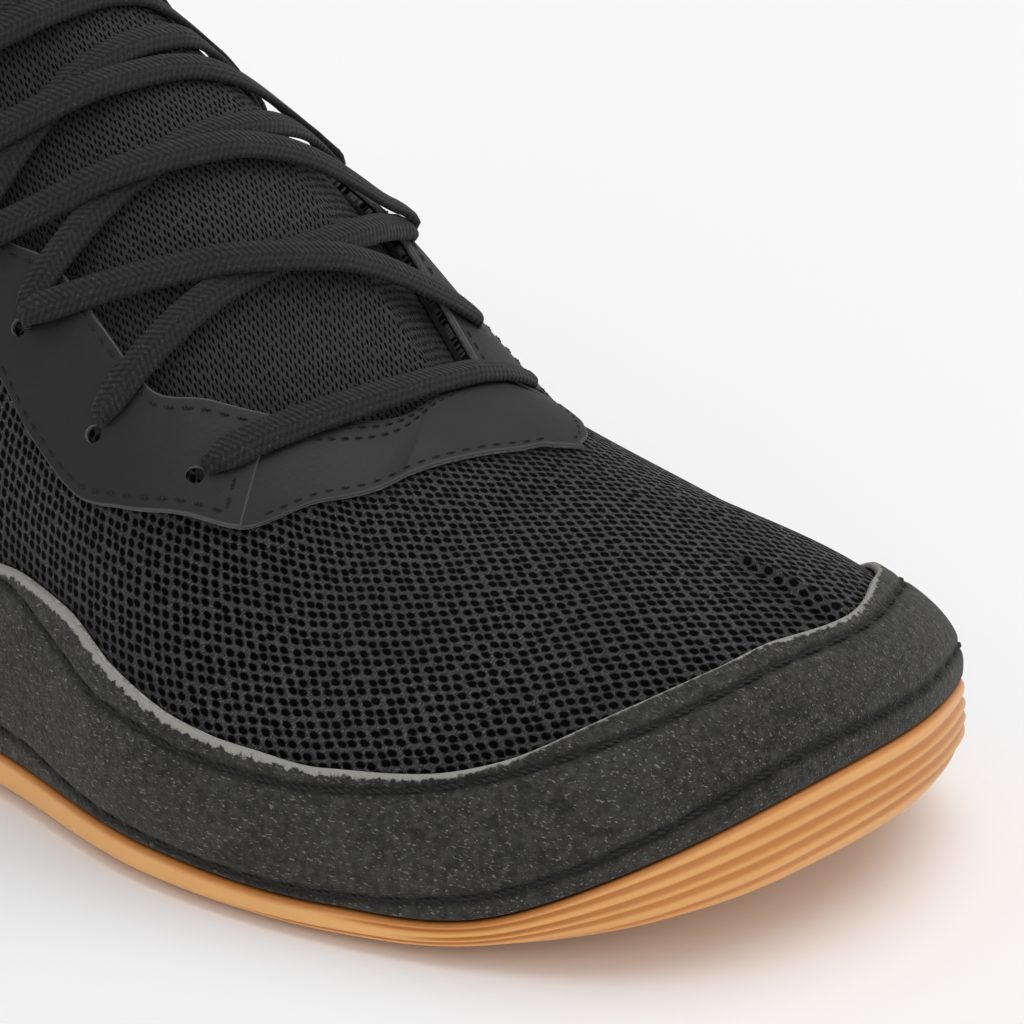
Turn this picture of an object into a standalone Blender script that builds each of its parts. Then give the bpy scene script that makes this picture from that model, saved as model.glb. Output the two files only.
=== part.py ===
"""High wrestling shoe, right foot, as separate solids around one form function.

The form is a ring of ribs: each rib starts on the sole's outline, bulges up the side and ends on the
collar line or on the top line of the foot. Every panel is a shell over a window of that form.
Tables are in millimetres; the solids are made in metres, toe towards +X, big toe side +Y, up +Z.
"""
import math

import bmesh
import bpy
import numpy as np
from mathutils import Vector
from mathutils.bvhtree import BVHTree

MM = 0.001
SHIFT_X = 2.18
SHIFT_Y = 1.66

# wall and fit sizes
UPPER_WALL = 1.8
FIT_GAP = 0.35
SEAT_GAP = 0.5
PANEL_WALL = 1.2
EYESTAY_WALL = 1.0
TONGUE_WALL = 2.0
TONGUE_RISE = 2.6
TONGUE_RISE_SPAN = 0.25
FLARE = math.radians(6.0)
SLOPE_START = 0.40
SLOPE_SPAN = 0.07
STEP_ALONG = 0.012
STEP_UP = 0.002

# sole sizes
RIM_OUT = 1.7
RIM_IN = -2.4
PLATE_EDGE = -2.7
TURN_IN = -3.0
FLAT_IN = -9.0
RIB_DEPTH = 0.7
RIB_START = 0.84
RIB_FULL = 0.90
SLOT_WIDE = 2.4
SLOT_DEEP = 1.3
SLOT_EDGE = 12.0
TURN_LIFT = 0.25
PLATE_DROP = 0.25

# insole sizes
INSOLE_INSET = -3.1
INSOLE_THICK = 3.0
INSOLE_LIFT = 0.3

# lace sizes
LACE_WIDE = 5.0
LACE_THICK = 1.5
LACE_OVER_STAY = 2.0
LACE_OVER_TONGUE = 1.2
LACE_DIP_START = 0.05
LACE_DIP_SPAN = 0.3
LACE_STEP = 0.3
LACE_PARTS = 10
LACE_SHOULDER = 0.6
LACE_SOFTEN = (1.0, 1.0, 0.5, 0.0)
LACE_CLEAR = 0.6
LACE_SEARCH = 6.0
LACE_TESTS = 9

# collar roll
ROLL_RADIUS = 2.2
ROLL_SIDES = 8

# station, lateral x, lateral y, medial x, medial y, rim height
OUTLINE = (
    (0.000, -136.8, 0.0, -136.8, 0.0, 11.0),
    (0.060, -128.9, -18.2, -128.9, 18.2, 10.5),
    (0.130, -111.5, -27.8, -111.5, 27.8, 9.5),
    (0.220, -85.0, -31.8, -85.0, 30.8, 8.8),
    (0.330, -52.0, -34.3, -52.0, 27.3, 8.6),
    (0.450, -15.0, -37.6, -15.0, 26.8, 7.9),
    (0.570, 20.0, -42.2, 20.0, 32.5, 6.0),
    (0.680, 52.0, -48.6, 52.0, 42.3, 4.8),
    (0.780, 80.0, -46.4, 82.0, 45.3, 4.6),
    (0.860, 101.8, -39.6, 105.0, 41.8, 7.2),
    (0.920, 119.0, -29.0, 120.0, 36.5, 16.5),
    (0.965, 128.6, -14.8, 129.6, 24.4, 22.6),
    (1.000, 133.1, 5.5, 133.1, 5.5, 24.6),
)

# station, top x, top half width, top height, top line y
CREST = (
    (0.000, -131.0, 0.0, 152.0, 0.0),
    (0.060, -127.0, 14.5, 151.5, 0.0),
    (0.130, -113.0, 26.0, 149.0, 0.0),
    (0.220, -87.0, 32.0, 146.0, 0.0),
    (0.300, -61.0, 27.5, 148.5, 0.0),
    (0.320, -54.5, 26.5, 152.0, 0.0),
    (0.345, -48.5, 23.5, 161.0, 0.3),
    (0.375, -45.0, 15.5, 171.0, 0.8),
    (0.400, -44.0, 0.0, 174.5, 1.2),
    (0.425, -40.5, 0.0, 160.0, 1.6),
    (0.450, -34.5, 0.0, 145.0, 2.2),
    (0.570, -8.0, 0.0, 110.0, 6.0),
    (0.680, 27.0, 0.0, 83.0, 8.5),
    (0.780, 58.0, 0.0, 55.5, 8.0),
    (0.860, 80.0, 0.0, 48.6, 6.5),
    (0.920, 93.0, 0.0, 45.4, 5.5),
    (0.965, 101.0, 0.0, 43.2, 5.2),
    (1.000, 105.0, 0.0, 42.2, 5.0),
)

# station, drop of the rib's top end in degrees, lower pull, upper pull, lean of the side in degrees
RIB = (
    (0.000, 90.0, 0.40, 0.40, 8.0),
    (0.130, 90.0, 0.40, 0.40, 8.0),
    (0.220, 90.0, 0.40, 0.40, 6.0),
    (0.320, 88.0, 0.40, 0.40, 5.5),
    (0.345, 70.0, 0.44, 0.52, 5.5),
    (0.360, 54.0, 0.46, 0.74, 5.5),
    (0.375, 33.0, 0.48, 1.02, 5.5),
    (0.388, 24.0, 0.48, 1.14, 5.0),
    (0.400, 20.0, 0.49, 0.92, 4.5),
    (0.425, 12.0, 0.49, 0.70, 4.0),
    (0.450, 6.0, 0.50, 0.74, 6.0),
    (0.510, 3.0, 0.50, 0.62, 7.0),
    (0.570, 2.0, 0.47, 0.53, 7.0),
    (0.680, 0.0, 0.45, 0.50, 8.0),
    (0.780, 0.0, 0.43, 0.52, 8.0),
    (0.860, 0.0, 0.48, 0.50, 8.0),
    (0.920, 0.0, 0.50, 0.51, 8.0),
    (1.000, 0.0, 0.56, 0.55, 8.0),
)

# station, low line, then middle and top line on the lateral side, then on the medial side
LINES = (
    (0.000, 0.400, 0.88, 1.00, 0.88, 1.00),
    (0.060, 0.390, 0.88, 1.00, 0.88, 1.00),
    (0.130, 0.340, 0.88, 1.00, 0.88, 1.00),
    (0.220, 0.240, 0.87, 1.00, 0.87, 1.00),
    (0.260, 0.170, 0.86, 1.00, 0.86, 1.00),
    (0.290, 0.115, 0.846, 1.00, 0.859, 1.00),
    (0.320, 0.080, 0.724, 1.00, 0.745, 1.00),
    (0.345, 0.065, 0.640, 0.949, 0.677, 0.954),
    (0.360, 0.062, 0.629, 0.907, 0.674, 0.916),
    (0.375, 0.060, 0.547, 0.848, 0.604, 0.868),
    (0.388, 0.060, 0.468, 0.771, 0.525, 0.805),
    (0.400, 0.062, 0.390, 0.653, 0.441, 0.699),
    (0.4125, 0.066, 0.369, 0.595, 0.416, 0.647),
    (0.425, 0.072, 0.376, 0.585, 0.424, 0.648),
    (0.450, 0.100, 0.399, 0.590, 0.451, 0.666),
    (0.480, 0.118, 0.400, 0.563, 0.454, 0.651),
    (0.510, 0.135, 0.378, 0.526, 0.450, 0.640),
    (0.540, 0.150, 0.352, 0.492, 0.460, 0.642),
    (0.570, 0.165, 0.325, 0.465, 0.47, 0.645),
    (0.600, 0.180, 0.30, 0.46, 0.47, 0.65),
    (0.630, 0.190, 0.30, 0.475, 0.48, 0.67),
    (0.660, 0.195, 0.34, 0.50, 0.50, 0.69),
    (0.690, 0.205, 0.44, 0.59, 0.56, 0.73),
    (0.715, 0.220, 0.505, 0.655, 0.61, 0.77),
    (0.745, 0.245, 0.64, 0.76, 0.70, 0.83),
    (0.770, 0.265, 0.74, 0.86, 0.78, 0.90),
    (0.790, 0.275, 0.82, 1.00, 0.84, 1.00),
    (0.810, 0.280, 0.91, 1.00, 0.92, 1.00),
    (0.825, 0.285, 1.00, 1.00, 1.00, 1.00),
    (0.850, 0.310, 1.00, 1.00, 1.00, 1.00),
    (0.900, 0.410, 1.00, 1.00, 1.00, 1.00),
    (0.940, 0.500, 1.00, 1.00, 1.00, 1.00),
    (0.970, 0.500, 1.00, 1.00, 1.00, 1.00),
    (1.000, 0.460, 1.00, 1.00, 1.00, 1.00),
)

# x, height of the underside, height of the plate that carries the insole
SOLE_LEVELS = (
    (-141.0, 4.5, 8.6),
    (-133.0, 1.6, 8.6),
    (-122.0, 0.0, 8.5),
    (-52.0, 0.0, 8.1),
    (-38.0, 1.2, 7.8),
    (-15.0, 3.2, 7.2),
    (8.0, 1.0, 6.1),
    (20.0, 0.0, 5.5),
    (50.0, 0.0, 4.4),
    (76.0, 0.0, 4.2),
    (90.0, 0.7, 4.7),
    (105.0, 2.9, 6.7),
    (120.0, 6.5, 10.6),
    (133.0, 10.7, 15.0),
    (138.0, 12.6, 17.0),
)

# share of the side's height, offset from the outline, depth of the toe ribs there
SIDE_PROFILE = (
    (0.14, 0.9, 0.0),
    (0.30, 2.3, 0.0),
    (0.42, 2.7, 1.0),
    (0.54, 2.7, 0.0),
    (0.66, 2.5, 1.0),
    (0.78, 2.3, 0.0),
)

# x of each tread slot across the sole
SLOTS_FRONT = (28.0, 39.0, 50.0, 61.0, 72.0)
SLOTS_HEEL = (-112.0, -100.0, -88.0, -76.0)

# lateral station and height on the rib of each eyelet pair, then the medial height, top line station
EYELETS = (
    (0.690, 0.500, 0.650, 0.755),
    (0.642, 0.395, 0.585, 0.700),
    (0.596, 0.380, 0.570, 0.655),
    (0.552, 0.395, 0.580, 0.615),
    (0.508, 0.440, 0.600, 0.572),
    (0.464, 0.500, 0.640, 0.525),
    (0.420, 0.570, 0.670, 0.482),
    (0.378, 0.640, 0.730, 0.445),
)

# stations of the grid that all panels share
STATIONS = (
    0.0, 0.03, 0.06, 0.095, 0.13, 0.175, 0.22, 0.26, 0.285, 0.29, 0.32, 0.345, 0.36, 0.375, 0.388,
    0.40, 0.4125, 0.425, 0.45, 0.48, 0.51, 0.54, 0.57, 0.60, 0.63, 0.66, 0.69, 0.715, 0.72, 0.745,
    0.77, 0.79, 0.81, 0.825, 0.85, 0.875, 0.90, 0.92, 0.94, 0.955, 0.97, 0.985, 1.0,
)
LOW_ROWS = 3
SIDE_ROWS = 4
STAY_ROWS = 2
THROAT_ROWS = 4
ROW_LOW = LOW_ROWS
ROW_MID = ROW_LOW + SIDE_ROWS
ROW_TOP = ROW_MID + STAY_ROWS
ROW_CREST = ROW_TOP + THROAT_ROWS

COUNTER_END = 0.26
RAND_END = 0.425
STAY_TOP = 0.29
STAY_FRONT = 0.715
BAND_BACK = 0.72
BAND_FRONT = 0.825
TONGUE_FRONT = 0.81
TONGUE_TOP = 0.345
COLLAR_END = 0.285

# colour and roughness of each material
MATERIALS = {
    "knit_black": ((0.018, 0.018, 0.020), 0.85),
    "suede_charcoal": ((0.060, 0.060, 0.055), 0.95),
    "synthetic_black": ((0.035, 0.035, 0.038), 0.55),
    "synthetic_grey": ((0.050, 0.050, 0.052), 0.50),
    "gum_rubber": ((0.680, 0.370, 0.150), 0.45),
    "foam_grey": ((0.120, 0.120, 0.125), 0.90),
    "lace_black": ((0.020, 0.020, 0.022), 0.80),
    "binding_black": ((0.022, 0.022, 0.024), 0.80),
}


def clear_scene():
    for item in list(bpy.data.objects):
        bpy.data.objects.remove(item, do_unlink=True)


def make_collection(name):
    collection = bpy.data.collections.new(name)
    bpy.context.scene.collection.children.link(collection)
    return collection


def make_material(name):
    colour, rough = MATERIALS[name]
    material = bpy.data.materials.new(name)
    material.use_nodes = True
    shader = material.node_tree.nodes["Principled BSDF"]
    shader.inputs["Base Color"].default_value = (*colour, 1.0)
    shader.inputs["Roughness"].default_value = rough
    material.diffuse_color = (*colour, 1.0)
    return material


def closed_table(table, lateral, medial, signs):
    """Rows of one side followed by the other side's rows backwards, over stations 0 to 2."""
    front = [[row[0]] + [row[i] for i in lateral] for row in table]
    back = [[2.0 - row[0]] + [s * row[i] for i, s in zip(medial, signs)] for row in table[-2:0:-1]]
    return np.array(front + back)


class Track:
    """Columns of a closed table as smooth functions of the station."""

    def __init__(self, rows, tight):
        self.at = rows[:, 0]
        self.value = rows[:, 1:]
        times = np.concatenate([[self.at[-1] - 2.0], self.at, [2.0 + self.at[0]]])
        values = np.vstack([self.value[-1:], self.value, self.value[:1]])
        step = np.diff(times)[:, None]
        rate = np.diff(values, axis=0) / step
        before, after = step[:-1], step[1:]
        low, high = rate[:-1], rate[1:]
        self.slope = (after * low + before * high) / (before + after)
        if tight:
            turning = low * high <= 0.0
            weight_low = 2.0 * after + before
            weight_high = after + 2.0 * before
            safe_low = np.where(turning, 1.0, low)
            safe_high = np.where(turning, 1.0, high)
            mean = (weight_low + weight_high) / (weight_low / safe_low + weight_high / safe_high)
            self.slope = np.where(turning, 0.0, mean)

    def __call__(self, station):
        station = np.mod(np.asarray(station, float), 2.0)
        times = np.append(self.at, 2.0)
        values = np.vstack([self.value, self.value[:1]])
        slopes = np.vstack([self.slope, self.slope[:1]])
        i = np.clip(np.searchsorted(times, station, side="right") - 1, 0, len(self.at) - 1)
        step = (times[i + 1] - times[i])[..., None]
        s = (station - times[i])[..., None] / step
        start = (1 + 2 * s) * (1 - s) ** 2 * values[i] + s * (1 - s) ** 2 * step * slopes[i]
        finish = s * s * (3 - 2 * s) * values[i + 1] + s * s * (s - 1) * step * slopes[i + 1]
        return start + finish


FOOT = Track(closed_table(OUTLINE, (1, 2, 5), (3, 4, 5), (1, 1, 1)), False)
TOP = Track(closed_table(CREST, (1, 2, 3, 4), (1, 2, 3, 4), (1, -1, 1, 1)), True)
RIBS = Track(closed_table(RIB, (1, 2, 3, 4), (1, 2, 3, 4), (1, 1, 1, 1)), True)
PANEL = Track(closed_table(LINES, (1, 2, 3), (1, 4, 5), (1, 1, 1)), True)


def unit(vectors):
    return vectors / np.maximum(np.linalg.norm(vectors, axis=-1, keepdims=True), 1e-9)


def outline_normal(station):
    step = 1e-4
    along = FOOT(np.asarray(station) + step) - FOOT(np.asarray(station) - step)
    return unit(np.stack([along[..., 1], -along[..., 0], 0.0 * along[..., 0]], -1))


def form(station, height):
    """Point of the form: station 0 heel, 1 toe, 2 heel again; height 0 at the sole, 1 at the top."""
    station, height = np.broadcast_arrays(np.asarray(station, float), np.asarray(height, float))
    start = FOOT(station) + np.array([0.0, 0.0, SEAT_GAP])
    top = TOP(station)
    rib = RIBS(station)
    out = outline_normal(station)
    end = np.stack([top[..., 0], top[..., 3] - top[..., 1], top[..., 2]], -1)
    step = 1e-3
    ahead = TOP(station + step) - TOP(station - step)
    run_x = ahead[..., 0]
    level = np.abs(run_x) < 1e-7
    slope = np.clip(np.where(level, 0.0, ahead[..., 2] / np.where(level, 1.0, run_x)), -2.0, 2.0)
    share = np.clip((1.0 - np.abs(1.0 - np.mod(station, 2.0)) - SLOPE_START) / SLOPE_SPAN, 0.0, 1.0)
    slope = slope * share * share * (3.0 - 2.0 * share)
    rise = end[..., 2] - start[..., 2]
    flat = start[..., :2] - end[..., :2]
    run = np.linalg.norm(flat, axis=-1)
    aim = flat / np.maximum(run, 1e-6)[..., None]
    side = unit(np.stack([aim[..., 0], aim[..., 1], slope * aim[..., 0]], -1))
    drop = np.radians(rib[..., 0])
    down = -math.sin(FLARE) * out
    down[..., 2] = -math.cos(FLARE)
    leave = (np.cos(drop) * run)[..., None] * side + (np.sin(drop) * rise)[..., None] * down
    lean = np.radians(rib[..., 3])[..., None]
    up = np.sin(lean) * out + np.cos(lean) * np.array([0.0, 0.0, 1.0])
    low = start + (rib[..., 1] * rise)[..., None] * up
    high = end + rib[..., 2][..., None] * leave
    t = height[..., None]
    return (1 - t) ** 3 * start + 3 * (1 - t) ** 2 * t * low + 3 * (1 - t) * t * t * high + t ** 3 * end


def one_side_normal(station, height):
    along = form(station + STEP_ALONG, height) - form(station - STEP_ALONG, height)
    above = form(station, np.clip(height + STEP_UP, 0, 1))
    below = form(station, np.clip(height - STEP_UP, 0, 1))
    return unit(np.cross(along, above - below))


def normal(station, height):
    """Outward normal; on the top line it is the mean of both sides."""
    here = one_side_normal(station, height)
    there = one_side_normal(2.0 - station, height)
    joined = (height > 0.9999) & (np.abs(TOP(station)[..., 1]) < 1e-6)
    return np.where(joined[..., None], unit(here + there), here)


def to_metres(points):
    shifted = np.asarray(points, float) + np.array([SHIFT_X, SHIFT_Y, 0.0])
    return shifted * MM


def new_object(name, points, faces, material, collection):
    mesh = bpy.data.meshes.new(name)
    mesh.from_pydata([tuple(p) for p in to_metres(points)], [], faces)
    mesh.materials.append(material)
    item = bpy.data.objects.new(name, mesh)
    collection.objects.link(item)
    tidy(item)
    return item


def tidy(item):
    """Triangles only, no doubled points, faces outward."""
    work = bmesh.new()
    work.from_mesh(item.data)
    bmesh.ops.remove_doubles(work, verts=work.verts, dist=1e-6)
    bmesh.ops.dissolve_degenerate(work, edges=work.edges, dist=1e-6)
    bmesh.ops.triangulate(work, faces=work.faces)
    bmesh.ops.recalc_face_normals(work, faces=work.faces)
    work.to_mesh(item.data)
    work.free()
    item.data.update()


def ring_stations():
    """The stations of both sides, once round the shoe."""
    return list(STATIONS) + [2.0 - s for s in STATIONS[-2:0:-1]]


def row_heights(station):
    low, middle, top = PANEL(station)
    rows = list(np.linspace(0.0, low, LOW_ROWS + 1))
    rows += list(np.linspace(low, middle, SIDE_ROWS + 1))[1:]
    rows += list(np.linspace(middle, top, STAY_ROWS + 1))[1:]
    rows += list(np.linspace(top, 1.0, THROAT_ROWS + 1))[1:]
    return rows


def columns(first, last):
    """Column indices of the lateral side from one station to the next named one."""
    start = STATIONS.index(first)
    stop = STATIONS.index(last)
    return list(range(start, stop))


def mirrored(cols):
    count = 2 * (len(STATIONS) - 1)
    return [(count - 1 - c) % count for c in cols]


def make_shell(name, cols, first_row, last_row, inner, outer, material, collection):
    """Closed shell over a window of the shared grid, between two offsets of the form."""
    ring = ring_stations()
    count = len(ring)
    grid = {}
    places = {}
    uppers = []
    lowers = []

    def corner(col, row):
        key = (col % count, row)
        if key not in grid:
            station = ring[key[0]]
            height = row_heights(station)[row]
            base = form(station, height)
            mark = tuple(np.round(base, 4) + 0.0)
            if mark not in places:
                out = normal(np.array(station), np.array(height))
                places[mark] = len(uppers)
                uppers.append(base + outer(station, height) * out)
                lowers.append(base + inner(station, height) * out)
            grid[key] = places[mark]
        return grid[key]

    faces = []
    for col in cols:
        for row in range(first_row, last_row):
            around = [corner(col, row), corner(col + 1, row), corner(col + 1, row + 1), corner(col, row + 1)]
            face = [p for i, p in enumerate(around) if p not in around[:i]]
            if len(face) > 2:
                faces.append(face)
    used = {}
    for face in faces:
        for i, a in enumerate(face):
            used[(a, face[(i + 1) % len(face)])] = True
    size = len(uppers)
    solid = [tuple(face) for face in faces]
    solid += [tuple(size + p for p in reversed(face)) for face in faces]
    for a, b in used:
        if (b, a) not in used:
            solid.append((b, a, size + a, size + b))
    return new_object(name, uppers + lowers, solid, material, collection)


def steady(offset):
    return lambda station, height: offset


def tongue_outer(station, height):
    share = np.clip((height - PANEL(station)[..., 2]) / TONGUE_RISE_SPAN, 0.0, 1.0)
    return TONGUE_RISE * share - UPPER_WALL - FIT_GAP


def tongue_inner(station, height):
    return tongue_outer(station, height) - TONGUE_WALL


def make_upper(material, collection):
    every = range(2 * (len(STATIONS) - 1))
    return make_shell("upper", every, 0, ROW_TOP, steady(-UPPER_WALL), steady(0.0), material, collection)


def make_panel(name, cols, first_row, last_row, wall, material, collection):
    return make_shell(name, cols, first_row, last_row, steady(FIT_GAP), steady(FIT_GAP + wall),
                      material, collection)


def make_rand(material, collection):
    side = columns(RAND_END, 1.0)
    return make_panel("rand", side + mirrored(side), 0, ROW_LOW, PANEL_WALL, material, collection)


def make_heel_counter(material, collection):
    side = columns(0.0, COUNTER_END)
    return make_panel("heel_counter", side + mirrored(side), 0, ROW_LOW, PANEL_WALL, material, collection)


def make_eyestays(material, collection):
    side = columns(STAY_TOP, STAY_FRONT)
    sides = (("eyestay_lateral", side), ("eyestay_medial", mirrored(side)))
    return [make_panel(name, cols, ROW_MID, ROW_TOP, EYESTAY_WALL, material, collection)
            for name, cols in sides]


def make_throat_band(material, collection):
    side = columns(BAND_BACK, BAND_FRONT)
    return make_panel("throat_band", side + mirrored(side), ROW_MID, ROW_TOP, EYESTAY_WALL,
                      material, collection)


def make_tongue(material, collection):
    side = columns(TONGUE_TOP, TONGUE_FRONT)
    return make_shell("tongue", side + mirrored(side), ROW_TOP - 1, ROW_CREST, tongue_inner, tongue_outer,
                      material, collection)


def sole_level(x, column):
    table = np.array(SOLE_LEVELS)
    at, value = table[:, 0], table[:, column]
    step = np.diff(at)
    rate = np.diff(value) / step
    low, high = rate[:-1], rate[1:]
    turning = low * high <= 0.0
    mean = 2.0 / (1.0 / np.where(turning, 1.0, low) + 1.0 / np.where(turning, 1.0, high))
    slope = np.concatenate([[rate[0]], np.where(turning, 0.0, mean), [rate[-1]]])
    i = int(np.clip(np.searchsorted(at, x) - 1, 0, len(at) - 2))
    s = (x - at[i]) / step[i]
    start = (1 + 2 * s) * (1 - s) ** 2 * value[i] + s * (1 - s) ** 2 * step[i] * slope[i]
    return start + s * s * (3 - 2 * s) * value[i + 1] + s * s * (s - 1) * step[i] * slope[i + 1]


def ribbed(station):
    """How far the toe ribs are cut at a station, 0 to 1."""
    near = 1.0 - abs(1.0 - station)
    return min(max((near - RIB_START) / (RIB_FULL - RIB_START), 0.0), 1.0)


def outline_at(station, offset):
    return (FOOT(station) + offset * outline_normal(station))[:2]


def sole_column(station):
    """Points of the sole's section at a station, from the middle of the underside up and in again."""
    rim = float(FOOT(station)[2])
    side = outline_at(station, 0.0)
    floor = float(sole_level(side[0], 1))
    points = []
    for offset, lift in ((FLAT_IN, 0.0), (TURN_IN, TURN_LIFT)):
        x, y = outline_at(station, offset)
        points.append((x, y, float(sole_level(x, 1)) + lift))
    for share, offset, rib in SIDE_PROFILE:
        x, y = outline_at(station, offset - rib * RIB_DEPTH * ribbed(station))
        points.append((x, y, floor + share * (rim - floor)))
    points.append((*outline_at(station, RIM_OUT), rim))
    points.append((*outline_at(station, RIM_IN), rim))
    x, y = outline_at(station, PLATE_EDGE)
    points.append((x, y, min(float(sole_level(x, 2)), rim - PLATE_DROP)))
    return points


def loft_columns(name, sections, material, collection):
    """Closed solid from one section per station round the outline, capped across the middle."""
    count = len(sections)
    deep = len(sections[0])
    points = [p for section in sections for p in section]
    faces = []
    for c in range(count):
        n = (c + 1) % count
        for r in range(deep - 1):
            faces.append((c * deep + r, n * deep + r, n * deep + r + 1, c * deep + r + 1))
    half = count // 2
    for c in range(half):
        left, left_next = c, c + 1
        right, right_next = (count - c) % count, count - c - 1
        for row, flip in ((0, True), (deep - 1, False)):
            loop = [left * deep + row, left_next * deep + row, right_next * deep + row, right * deep + row]
            loop = [p for i, p in enumerate(loop) if p not in loop[:i]]
            faces.append(tuple(reversed(loop)) if flip else tuple(loop))
    return new_object(name, points, faces, material, collection)


def make_slot_cutter(name, x, collection):
    lateral = min(FOOT(s)[1] for s in STATIONS if abs(FOOT(s)[0] - x) < SLOT_EDGE)
    medial = max(FOOT(2.0 - s)[1] for s in STATIONS if abs(FOOT(2.0 - s)[0] - x) < SLOT_EDGE)
    wide = medial - lateral - 2.0 * SLOT_EDGE
    middle = (medial + lateral) / 2.0
    bpy.ops.mesh.primitive_cube_add(size=1.0)
    cutter = bpy.context.object
    cutter.name = name
    cutter.scale = (SLOT_WIDE * MM, wide * MM, 2.0 * SLOT_DEEP * MM)
    cutter.location = ((x + SHIFT_X) * MM, (middle + SHIFT_Y) * MM, 0.0)
    bpy.ops.object.transform_apply(location=True, rotation=True, scale=True)
    for owner in list(cutter.users_collection):
        owner.objects.unlink(cutter)
    collection.objects.link(cutter)
    cutter.hide_render = True
    cutter.display_type = "WIRE"
    return cutter


def apply_boolean(item, other, operation):
    modifier = item.modifiers.new("cut", "BOOLEAN")
    modifier.operation = operation
    modifier.solver = "EXACT"
    modifier.object = other
    graph = bpy.context.evaluated_depsgraph_get()
    mesh = bpy.data.meshes.new_from_object(item.evaluated_get(graph))
    item.modifiers.clear()
    item.data = mesh
    tidy(item)


def make_outsole(material, collection, cutters):
    sections = [sole_column(s) for s in ring_stations()]
    outsole = loft_columns("outsole", sections, material, collection)
    for i, x in enumerate(SLOTS_FRONT + SLOTS_HEEL):
        apply_boolean(outsole, make_slot_cutter("cut_slot_%d" % i, x, cutters), "DIFFERENCE")
    return outsole


def make_insole(material, collection):
    sections = []
    for station in ring_stations()[::2]:
        x, y = outline_at(station, INSOLE_INSET)
        low = float(sole_level(x, 2)) + INSOLE_LIFT
        sections.append([(x, y, low), (x, y, low + INSOLE_THICK)])
    return loft_columns("insole", sections, material, collection)


def make_tube(name, path, frames, outline, material, collection):
    """Sweep an outline along a path; frames are two crossways unit vectors per point."""
    points = []
    for centre, (across, lift) in zip(path, frames):
        for a, b in outline:
            points.append(centre + a * across + b * lift)
    wide = len(outline)
    faces = []
    for i in range(len(path) - 1):
        for k in range(wide):
            n = (k + 1) % wide
            faces.append((i * wide + k, i * wide + n, (i + 1) * wide + n, (i + 1) * wide + k))
    faces.append(tuple(range(wide)))
    faces.append(tuple(reversed(range((len(path) - 1) * wide, len(path) * wide))))
    return new_object(name, points, faces, material, collection)


def make_collar_roll(material, collection):
    side = STATIONS[:STATIONS.index(COLLAR_END) + 1]
    stations = [2.0 - s for s in side[:0:-1]] + list(side)
    path = []
    frames = []
    for station in stations:
        out = outline_normal(station)
        rim = form(station, 1.0)
        path.append(rim - 0.5 * UPPER_WALL * out + np.array([0.0, 0.0, ROLL_RADIUS + FIT_GAP]))
        frames.append((out, np.array([0.0, 0.0, 1.0])))
    turn = [2.0 * math.pi * k / ROLL_SIDES for k in range(ROLL_SIDES)]
    outline = [(ROLL_RADIUS * math.cos(a), ROLL_RADIUS * math.sin(a)) for a in turn]
    return make_tube("collar_binding", path, frames, outline, material, collection)


def lacing_ground(items):
    """Search tree over the solids that the laces lie on."""
    points = []
    faces = []
    for item in items:
        first = len(points)
        points += [vertex.co.copy() for vertex in item.data.vertices]
        faces += [[first + i for i in face.vertices] for face in item.data.polygons]
    return BVHTree.FromPolygons(points, faces)


def shortfall(centre, across, lifted, ground):
    """How much a lace's section at this point must rise to clear what lies under it."""
    most = 0.0
    for side in (-1.0, -LACE_SHOULDER, 0.0, LACE_SHOULDER, 1.0):
        drop = LACE_THICK / 2.0 if abs(side) < 1.0 else 0.0
        above = centre + side * LACE_WIDE / 2.0 * across + (LACE_SEARCH - drop) * lifted
        hit = ground.ray_cast(Vector(to_metres(above)), Vector(-lifted), 2.0 * LACE_SEARCH * MM)
        if hit[0] is not None:
            most = max(most, LACE_SEARCH + LACE_CLEAR - hit[3] / MM)
    return most


def lift_clear(path, across, lifted, ground):
    """Raise a lace's path until all of its underside is clear."""
    need = np.zeros(len(path))
    for i in range(len(path) - 1):
        for s in np.linspace(0.0, 1.0, LACE_TESTS):
            centre = (1.0 - s) * path[i] + s * path[i + 1]
            sideways = unit((1.0 - s) * across[i] + s * across[i + 1])
            upwards = unit((1.0 - s) * lifted[i] + s * lifted[i + 1])
            short = shortfall(centre, sideways, upwards, ground)
            need[i:i + 2] = np.maximum(need[i:i + 2], short)
    path += need[:, None] * lifted


def lace_point(station, height, lift):
    """A point over the lacing: above the eyestay at the sides, above the tongue in the middle."""
    top = PANEL(station)[2]
    share = min(max((height - top - LACE_DIP_START) / LACE_DIP_SPAN, 0.0), 1.0)
    over = LACE_OVER_STAY * (1.0 - share) + LACE_OVER_TONGUE * share
    out = normal(np.array(station), np.array(height))
    return form(station, height) + (over + 0.5 * LACE_THICK + lift) * out, out


def lace_path(start, end, middle, lift):
    """From a lateral eyelet over the top line to a medial one; each is (station, height)."""
    spots = []
    half = LACE_PARTS // 2
    for k in range(half + 1):
        s = k / half
        spots.append((start[0] + s * (middle - start[0]), start[1] + s * (1.0 - start[1])))
    for k in range(1, half + 1):
        s = k / half
        station = middle + s * (end[0] - middle)
        spots.append((2.0 - station, 1.0 + s * (end[1] - 1.0)))
    pairs = [lace_point(station, height, lift) for station, height in spots]
    return np.array([p for p, _ in pairs]), np.array([n for _, n in pairs])


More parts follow.
